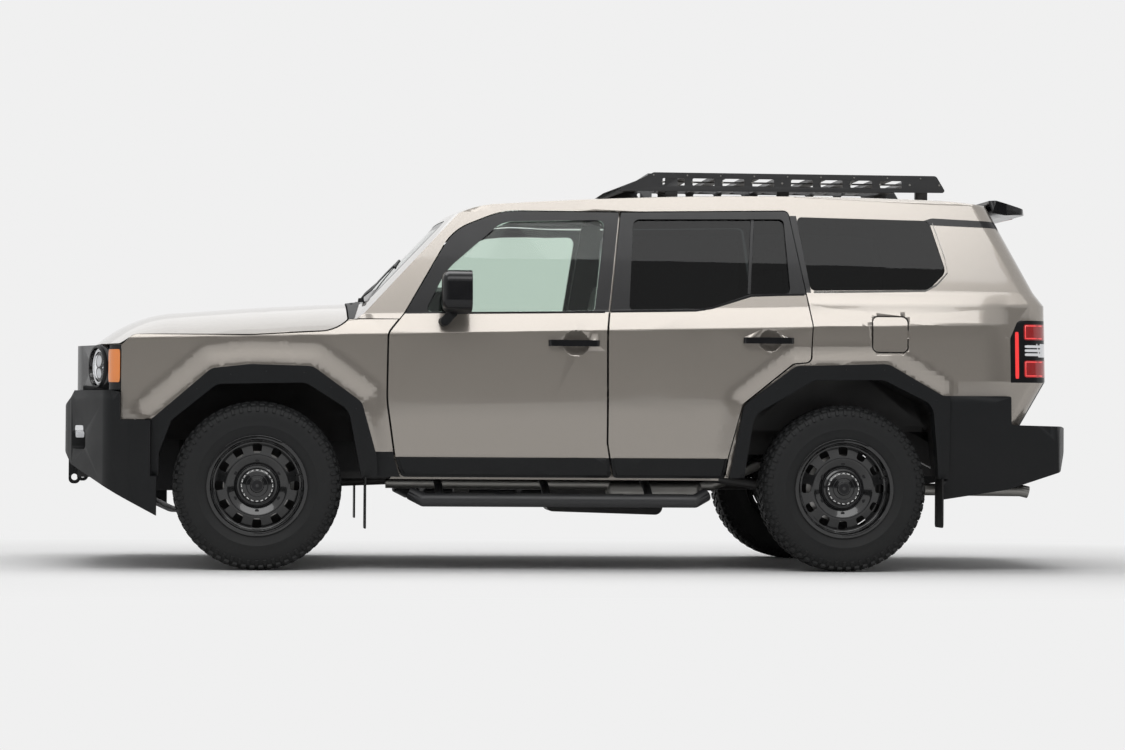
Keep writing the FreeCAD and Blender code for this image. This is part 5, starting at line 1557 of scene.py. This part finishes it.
@dataclass
class HeadLamp:
    """Reflector bowl, projector, light ring and amber marker of one head lamp."""

    side: Side
    centre: Tuple[float, float, float] = LAMP_CENTRE
    toe: float = LAMP_TOE

    def build(self) -> None:
        """Builds the lamp's insides and its marker."""
        s, (x, y, z) = self.side.value, self.centre
        axis = Vector((-math.cos(self.toe), s * math.sin(self.toe), 0))
        centre = at(x, s * y, z)
        word = self.side.word
        back = centre - axis * 28.5 * MM
        bowl = spun([(0.1, 0.4), (22, 0.6), (50, 2.6), (72, 7.5), (84, 14.0), (88.5, 21.0), (89.4, 21.0),
                     (89.4, 0.0), (0.1, 0.0)], back, axis, 64)
        finish_mesh(bowl, "lamp_bowl_" + word, "chassis", "steel", Coat.MIRROR, angle=60.0)
        ring = spun([(74, 21.0), (82, 21.0), (82, 24.0), (78, 25.5), (74, 24.0)], back, axis, 64)
        finish_mesh(ring, "lamp_light_ring_" + word, "chassis", "lamp_clear", Coat.WHITE_LENS)
        for dx, dz, r in ((0.0, 26.0, 25.0), (0.0, -29.0, 22.0)):
            eye = back + Vector((0, 0, dz * MM))
            cup = spun([(0.1, 15.5), (r * 0.5, 14.6), (r * 0.85, 12.0), (r, 8.0), (r + 3, 8.0),
                        (r + 3, 4.0), (0.1, 4.0)], eye, axis, 40)
            finish_mesh(cup, f"lamp_projector_{int(r)}_{word}", "chassis", "lamp_clear", Coat.WHITE_LENS,
                        angle=40.0)
            bezel = spun([(r + 1, 9.0), (r + 6, 10.5), (r + 8, 8.0), (r + 8, 4.5), (r + 1, 4.5)], eye, axis,
                         40)
            finish_mesh(bezel, f"lamp_bezel_{int(r)}_{word}", "chassis", "gloss_black", Coat.SATIN)
        skin = Skin("headlights")
        skin_patch("side_marker_" + word, skin, (-716.0, 898.0), (-659.0, 1056.0), self.side, 3.0, 3.6,
                   "chassis", "lamp_red", Coat.AMBER, 9.0, (10, 8))
        skin_patch("side_marker_rim_" + word, skin, (-720.0, 894.0), (-656.5, 1060.0), self.side, 0.9, 1.2,
                   "chassis", "gloss_black", Coat.SATIN, 9.0, (6, 6))


@dataclass
class TailLamp:
    """Red bar, two light loops and clear bars of one tail lamp, on its side and its rear face."""

    side: Side
    loops: Tuple[Tuple[float, float], ...] = ((1140.0, 1218.0), (956.0, 1040.0))

    def build(self) -> None:
        """Lays the lenses on the lamp body."""
        skin, s, word = Skin("tail_lights"), self.side.value, self.side.word
        skin_patch("tail_bar_" + word, skin, (3704.0, 950.0), (3722.0, 1180.0), self.side, 2.2, 2.6,
                   "chassis", "lamp_red", Coat.RED_LIT, 5.0, (3, 14))
        for i, (low, high) in enumerate(self.loops):
            front = 3748.0
            skin_patch(f"tail_lens_{i}_{word}", skin, (front, low), (3890.0, high), self.side, 1.2, 1.8,
                       "chassis", "lamp_red", Coat.RED, 12.0, (14, 8))
            loop = [(front + 8, low + 8), (front + 8, high - 8), (3795, high - 8), (3840, high - 8),
                    (3874, high - 8), (3874, low + 8), (3840, low + 8), (3795, low + 8)]
            points = [p for p in (skin.side(x, z, self.side, 1.6) for x, z in loop) if p]
            if len(points) == len(loop):
                tube_along(f"tail_loop_{i}_{word}", points, 3.6, "chassis", "lamp_red", Coat.RED_LIT, 2,
                           True)
        for i, z in enumerate((1062.0, 1082.0, 1102.0)):
            skin_patch(f"tail_clear_{i}_{word}", skin, (3752.0, z), (3888.0, z + 13), self.side, 2.0, 2.2,
                       "chassis", "lamp_clear", Coat.WHITE_LENS, 4.0, (12, 2))
        self.rear_face(skin, s, word)

    def rear_face(self, skin: Skin, s: int, word: str) -> None:
        """Adds the lenses that show from behind.

        Args:
            skin: the lamp body's skin.
            s: sign of the side.
            word: the side's name.
        """
        lenses = ((1140, 1218, Coat.RED, "lamp_red"), (1056, 1122, Coat.WHITE_LENS, "lamp_clear"),
                  (956, 1040, Coat.RED, "lamp_red"))
        facing_back = Matrix.Rotation(math.radians(90), 4, "Z") @ UPRIGHT
        for i, (low, high, finish, slot) in enumerate(lenses):
            bm = bmesh.new()
            size = Matrix.Diagonal(((880 - 748) * MM / 2, (high - low) * MM / 2, 1, 1))
            place = Matrix.Translation(at(4200, s * 814, (low + high) / 2)) @ facing_back
            bmesh.ops.create_grid(bm, x_segments=8, y_segments=6, size=1.0, matrix=place @ size)
            for v in list(bm.verts):
                hit = skin.along(v.co, Vector((-1, 0, 0)), 1.6)
                if hit is None:
                    bm.verts.remove(v)
                else:
                    v.co = hit
            if bm.faces:
                thicken(bm, 0, 1, 1.8)
                finish_mesh(bm, f"tail_rear_lens_{i}_{word}", "chassis", slot, finish, angle=40.0)
            else:
                bm.free()


@dataclass
class Wipers:
    """The two windscreen wipers: arms, blades and pivots."""

    pivots: Tuple[Tuple[float, float], ...] = ((-470.0, 20.0), (60.0, 520.0))

    def build(self) -> None:
        """Lays arms and blades on the glass."""
        glass = Skin("windscreen")
        for i, (foot, tip) in enumerate(self.pivots):
            base = at(505, foot, 1318)
            points = []
            for share in (0.12, 0.35, 0.6, 0.85):
                y = foot + (tip - foot) * share
                hit = glass.along(at(-200, y, 1352 + 190 * share), Vector((1, 0, 0)), 16.0 - 10 * share)
                if hit:
                    points.append(hit)
            tube_along(f"wiper_arm_{i}", [base, base + Vector((0.012, 0, 0.02))] + points, 5.0, "chassis",
                       "black_plastic", Coat.SATIN)
            blade = []
            for share in (0.0, 0.25, 0.5, 0.75, 1.0):
                y = tip - 330 + 480 * share
                hit = glass.along(at(-200, y, 1455 + 90 * (1 - abs(share - 0.6))), Vector((1, 0, 0)), 6.5)
                if hit:
                    blade.append(hit)
            tube_along(f"wiper_blade_{i}", blade, 5.5, "chassis", "black_plastic", Coat.SEAL)
            cap = bmesh.new()
            bmesh.ops.create_cone(cap, cap_ends=True, segments=24, radius1=17 * MM, radius2=13 * MM,
                                  depth=20 * MM, matrix=Matrix.Translation(base))
            finish_mesh(cap, f"wiper_pivot_{i}", "chassis", "black_plastic", Coat.PLASTIC)


# ---- cabin --------------------------------------------------------------------------------------
@dataclass
class Cushion:
    """One padded part of a seat, swollen by a short cloth simulation."""

    name: str
    low: Tuple[float, float, float]
    high: Tuple[float, float, float]
    lean: float = 0.0
    voxel: float = 0.008
    channels: int = 3
    cap: float = 9.0
    pressure: float = 4.0
    last_frame: int = 15
    channel_depth: float = 6.0
    body: str = "chassis"

    def build(self) -> bpy.types.Object:
        """Makes the cushion: a rounded block, puffed, then grooved.

        Returns:
            The finished cushion.
        """
        centre = at(*[(a + b) / 2 for a, b in zip(self.low, self.high)])
        turn = Matrix.Rotation(math.radians(self.lean), 3, "Y")
        bm = bmesh.new()
        block(bm, [a + 8 for a in self.low], [b - 8 for b in self.high], 30.0, 3, turn)
        bmesh.ops.recalc_face_normals(bm, faces=bm.faces)
        pad = linked(self.name, mesh_from(bm, self.name))
        remesh = pad.modifiers.new("even_cells", "REMESH")
        remesh.mode, remesh.voxel_size = "VOXEL", self.voxel
        self.settle(pad)
        start = [v.co.copy() for v in pad.data.vertices]
        self.puff(pad)
        for v, was in zip(pad.data.vertices, start):
            move = v.co - was
            if move.length > self.cap * MM:
                v.co = was + move.normalized() * self.cap * MM
        self.groove(pad, centre, turn)
        soft = pad.modifiers.new("soft_surface", "SUBSURF")
        soft.levels = soft.render_levels = 1
        pad.data.shade_smooth()
        pad.data.materials.append(Coat.CLOTH.make())
        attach(pad, self.body)
        LOG.info("%s padded", self.name)
        return pad

    @staticmethod
    def settle(pad: bpy.types.Object) -> None:
        """Replaces an object's mesh with its evaluated one and drops its modifiers."""
        bpy.context.view_layer.update()
        made = bpy.data.meshes.new_from_object(pad.evaluated_get(bpy.context.evaluated_depsgraph_get()))
        pad.modifiers.clear()
        pad.data = made

    def puff(self, pad: bpy.types.Object) -> None:
        """Inflates the cover with a short cloth simulation."""
        cloth = pad.modifiers.new("cover", "CLOTH")
        cloth.settings.use_pressure, cloth.settings.uniform_pressure_force = True, self.pressure
        cloth.settings.effector_weights.gravity = 0.0
        cloth.settings.quality = 4
        for frame_number in range(1, self.last_frame + 1):
            bpy.context.scene.frame_set(frame_number)
        self.settle(pad)
        bpy.context.scene.frame_set(1)

    def groove(self, pad: bpy.types.Object, centre: Vector, turn: Matrix) -> None:
        """Presses sewn channels across the cushion and a seam near its edge.

        Args:
            pad: the puffed cushion.
            centre: the cushion's centre.
            turn: its lean.
        """
        back = turn.inverted()
        span = (self.high[1] - self.low[1]) * MM
        thick_axis = 2 if self.high[2] - self.low[2] < self.high[0] - self.low[0] else 0
        reach = (self.high[thick_axis] - self.low[thick_axis]) * MM / 2
        for v in pad.data.vertices:
            local = back @ (v.co - centre)
            depth = local[thick_axis]
            if abs(depth) < reach * 0.55:
                continue
            across = local.y / span
            press = sum(math.exp(-((across - (i + 1) / (self.channels + 1) + 0.5) / 0.018) ** 2)
                        for i in range(self.channels))
            press += math.exp(-((abs(across) - 0.41) / 0.014) ** 2)
            local[thick_axis] -= math.copysign(min(1.0, press) * self.channel_depth * MM, depth)
            v.co = centre + turn @ local


@dataclass
class Seats:
    """Front seats and the rear bench as padded pieces on plain bases."""

    floor: float = 585.0

    def build(self) -> None:
        """Builds every cushion and the frames under them."""
        fronts, bench = [], []
        for side in Side:
            y = side.value * 385.0
            fronts += self.seat("front_seat_" + side.word, 1190.0, y, 484.0)
            fronts.append(self.frame("front_seat_frame_" + side.word, 1190.0, y, 484.0))
        for i, y in enumerate((-360.0, 0.0, 360.0)):
            bench += self.seat(f"bench_{i}", 1950.0, y, 352.0)
            bench.append(self.frame(f"bench_frame_{i}", 1950.0, y, 352.0))
        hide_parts("front_seats")
        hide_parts("rear_bench")

    def seat(self, name: str, x: float, y: float, width: float) -> List[bpy.types.Object]:
        """Returns a seat's cushion, back and head rest."""
        half, base = width / 2, self.floor - 30
        return [Cushion(name + "_cushion", (x + 6, y - half, base + 236),
                        (x + 494, y + half, base + 370)).build(),
                Cushion(name + "_back", (x + 512, y - half, base + 330), (x + 640, y + half, base + 905),
                        13.5).build(),
                Cushion(name + "_head", (x + 644, y - 124, base + 936), (x + 741, y + 124, base + 1084),
                        4.0, channels=0).build()]

    def frame(self, name: str, x: float, y: float, width: float) -> bpy.types.Object:
        """Returns a seat's base, side shields and head-rest posts."""
        bm = bmesh.new()
        half = width / 2
        block(bm, (x + 62, y - half + 62, self.floor + 1), (x + 438, y + half - 62, self.floor + 190), 12.0)
        for s in (-1, 1):
            low, high = sorted((y + s * (half - 3), y + s * (half - 34)))
            block(bm, (x + 20, low, self.floor + 150), (x + 480, high, self.floor + 215), 10.0)
            matrix = Matrix.Translation(at(x + 692, y + s * 60, self.floor + 880))
            bmesh.ops.create_cone(bm, cap_ends=True, segments=16, radius1=6.5 * MM, radius2=6.5 * MM,
                                  depth=110 * MM, matrix=matrix)
        return finish_mesh(bm, name, "chassis", "black_plastic", Coat.TRIM)


@dataclass
class Cockpit:
    """Centre screen, dial hood, air vents and gear lever."""

    def build(self) -> None:
        """Builds the dash details."""
        bm = bmesh.new()
        block(bm, (938, -150, 1140), (956, 150, 1290), 6.0, 3, Matrix.Rotation(math.radians(-8), 3, "Y"))
        finish_mesh(bm, "centre_screen", "chassis", "gloss_black", Coat.GLOSS)
        bm = bmesh.new()
        block(bm, (905, -560, 1180), (925, -210, 1262), 12.0, 3, Matrix.Rotation(math.radians(-12), 3, "Y"))
        finish_mesh(bm, "dial_hood", "chassis", "black_plastic", Coat.TRIM)
        vents = bmesh.new()
        for y in (-700, -190, 190, 700):
            for i in range(5):
                block(vents, (968, y - 48, 1062 + i * 12), (990, y + 48, 1066 + i * 12), 1.5, 1)
        finish_mesh(vents, "air_vents", "chassis", "gloss_black", Coat.SATIN)
        lever = bmesh.new()
        block(lever, (1180, -18, 852), (1216, 18, 925), 12.0, 3)
        block(lever, (1170, -26, 918), (1226, 26, 965), 18.0, 4)
        finish_mesh(lever, "gear_lever", "chassis", "leather", Coat.HIDE)


# ---- outside details ----------------------------------------------------------------------------
@dataclass
class OutsideDetails:
    """Bolts, tread pads, mesh, shields, aprons, ledges and small lamps on the outside."""

    rack_z: float = 1966.0
    rack_half: float = 560.0
    step: Tuple[float, float] = (905.0, 341.0)

    def build(self) -> None:
        """Builds them all."""
        self.rack()
        self.steps()
        self.grille()
        self.shields()
        self.fasteners()
        self.high_lamp()
        self.aprons()
        self.ledges()
        self.bumper_lamps()

    def aprons(self) -> None:
        """Hangs splash aprons between the frame and the front wheels."""
        for side in Side:
            bm = bmesh.new()
            low, high = sorted((side.value * 452.0, side.value * 456.0))
            block(bm, (330, low, 470), (600, high, 760), 2.0, 1)
            block(bm, (-600, low, 372), (-380, high, 760), 2.0, 1)
            finish_mesh(bm, "splash_apron_" + side.word, "chassis", "black_plastic", Coat.TRIM)

    def ledges(self) -> None:
        """Lays the fenders' inner ledges under the bonnet's edges."""
        base = 1081.0
        for side in Side:
            skin = Skin("front_fender_" + side.word)
            bm = bmesh.new()
            stretch = Matrix.Diagonal((588 * MM, 99 * MM, 1, 1))
            place = Matrix.Translation(at(-162, side.value * 792, 1150)) @ stretch
            bmesh.ops.create_grid(bm, x_segments=44, y_segments=6, size=1.0, matrix=place)
            tops = {}
            for v in list(bm.verts):
                x, y, _ = mm_of(v.co)
                key = round(x)
                if key not in tops:
                    found = [skin.along(at(x, side.value * out, 1500), Vector((0, 0, -1)), 0.0)
                             for out in (905, 895, 885, 875)]
                    tops[key] = max((mm_of(p)[2] for p in found if p), default=0.0)
                z = tops[key] - 34.0 - (892 - abs(y)) * 0.1 if tops[key] > 1100 else base
                v.co = at(x, y, max(base, z))
            if bm.faces:
                thicken(bm, 2, 1, 2.0)
                finish_mesh(bm, "fender_ledge_" + side.word, "chassis", "paint", Coat.PAINT)
            else:
                bm.free()

    def bumper_lamps(self) -> None:
        """Fits the small square lamps in the bumper's pockets."""
        skin = Skin("front_bumper")
        for side in Side:
            skin_patch("bumper_lamp_" + side.word, skin, (-884.0, 630.0), (-842.0, 690.0), side, 3.0, 3.0,
                       "chassis", "lamp_clear", Coat.WHITE_LENS, 5.0, (5, 5))

    def dome(self, bm: Shape, place: Vector, axis: Vector, radius: float, height: float) -> None:
        """Adds a low domed bolt head."""
        turn = axis.to_track_quat("Z", "Y").to_matrix().to_4x4()
        matrix = Matrix.Translation(place + axis * height * MM / 2) @ turn
        bmesh.ops.create_cone(bm, cap_ends=True, segments=12, radius1=radius * MM,
                              radius2=radius * 0.72 * MM, depth=height * MM, matrix=matrix)

    def rack(self) -> None:
        """Adds two rows of bolts along each of the rack's side plates."""
        bm = bmesh.new()
        for s in (-1, 1):
            for i in range(10):
                x = 1995.0 + i * 150.0 + (45 if i > 4 else 0)
                self.dome(bm, at(x, s * self.rack_half, self.rack_z - 47), Vector((0, s, 0)), 6.0, 3.0)
            for i in range(9):
                self.dome(bm, at(1950 + i * 168, s * self.rack_half, self.rack_z - 14), Vector((0, s, 0)),
                          4.5, 2.6)
        finish_mesh(bm, "rack_bolts", "chassis", "steel", Coat.STEEL)

    def steps(self) -> None:
        """Lays grooved tread pads on the side steps."""
        y0, z0 = self.step
        for side in Side:
            bm = bmesh.new()
            for x in (930.0, 1240.0, 1560.0, 1870.0):
                for i in range(6):
                    y = side.value * (y0 - 15 + i * 6)
                    top = z0 + math.sqrt(max(1.0, 32.0 ** 2 - (abs(y) - y0) ** 2))
                    low, high = sorted((y - 1.8, y + 1.8))
                    block(bm, (x, low, top - 2.0), (x + 210, high, top + 2.0), 0.8, 1)
            finish_mesh(bm, "step_treads_" + side.word, "chassis", "black_plastic", Coat.SEAL)

    def grille(self) -> None:
        """Hangs a fine mesh behind the grille's openings."""
        skin = Skin("grille")
        bm = bmesh.new()
        for i in range(38):
            y = -430 + i * 23.2
            hit = skin.along(at(-1500, y, 866), Vector((1, 0, 0)), -22.0)
            x = mm_of(hit)[0] if hit else -840.0
            block(bm, (x, y - 2, 882), (x + 5, y + 2, 1052), 0.0)
        for i in range(9):
            for j in range(12):
                y = -430 + j * 72.0
                hit = skin.along(at(-1500, y + 36, 866), Vector((1, 0, 0)), -24.0)
                x = mm_of(hit)[0] if hit else -840.0
                block(bm, (x, y, 892 + i * 18), (x + 4, y + 72, 896 + i * 18), 0.0)
        finish_mesh(bm, "grille_mesh", "chassis", "black_plastic", Coat.SATIN)

    def shields(self) -> None:
        """Fits the dust shields behind the brake discs."""
        for axle in Axle:
            for side in Side:
                body = "hub_" + side.word if axle is Axle.FRONT else "chassis"
                hub = at(axle.value, side.value * 832.0, 406.0)
                bm = spun([(60, -52), (150, -53), (190, -50), (198, -46), (199.5, -46), (191, -51.5),
                           (150, -54.5), (60, -53.5)], hub, Vector((0, side.value, 0)), 64)
                finish_mesh(bm, f"dust_shield_{axle.word}_{side.word}", body, "black_steel", Coat.CHASSIS)

    def fasteners(self) -> None:
        """Puts push pins round the arch flares."""
        flares = {Axle.FRONT: ("front_arch_flares",
                               ((-430, 770), (-290, 868), (-130, 940), (40, 955), (220, 950), (350, 880),
                                (470, 780), (530, 640))),
                  Axle.REAR: ("rear_arch_flares",
                              ((-530, 640), (-470, 790), (-340, 890), (-200, 975), (0, 985), (190, 985),
                               (330, 915), (450, 840)))}
        for axle, (node, places) in flares.items():
            skin = Skin(node)
            for side in Side:
                bm = bmesh.new()
                for x, z in places:
                    hit = skin.side(axle.value + x, z, side, -0.5)
                    if hit:
                        self.dome(bm, hit, Vector((0, side.value, 0)), 4.0, 1.6)
                finish_mesh(bm, f"flare_pins_{axle.word}_{side.word}", "chassis", "black_plastic",
                            Coat.SATIN)

    def high_lamp(self) -> None:
        """Fits the high brake lamp under the spoiler's edge."""
        skin = Skin("rear_spoiler")
        hit = skin.along(at(4300, 0, 1822), Vector((-1, 0, 0)), 0.0)
        if hit:
            x = mm_of(hit)[0]
            bm = bmesh.new()
            block(bm, (x - 96, -170, 1778), (x - 86, 170, 1786), 1.5, 2)
            finish_mesh(bm, "high_brake_lamp", "tailgate_panel", "lamp_red", Coat.RED)


def main() -> None:
    """Builds the studio and every sub-assembly."""
    Studio(eye=Vector((-1.55346, -16.82993, 0.72))).build()
    BodyPanels().build()
    PlainNodes().build()
    for axle in Axle:
        for side in Side:
            Wheel(axle, side).build()
    Mouldings().build()
    for side in Side:
        HeadLamp(side).build()
        TailLamp(side).build()
    Wipers().build()
    Seats().build()
    Cockpit().build()
    OutsideDetails().build()


if __name__ == "__main__":
    logging.basicConfig(level=logging.INFO, format="%(name)s: %(message)s")
    main()
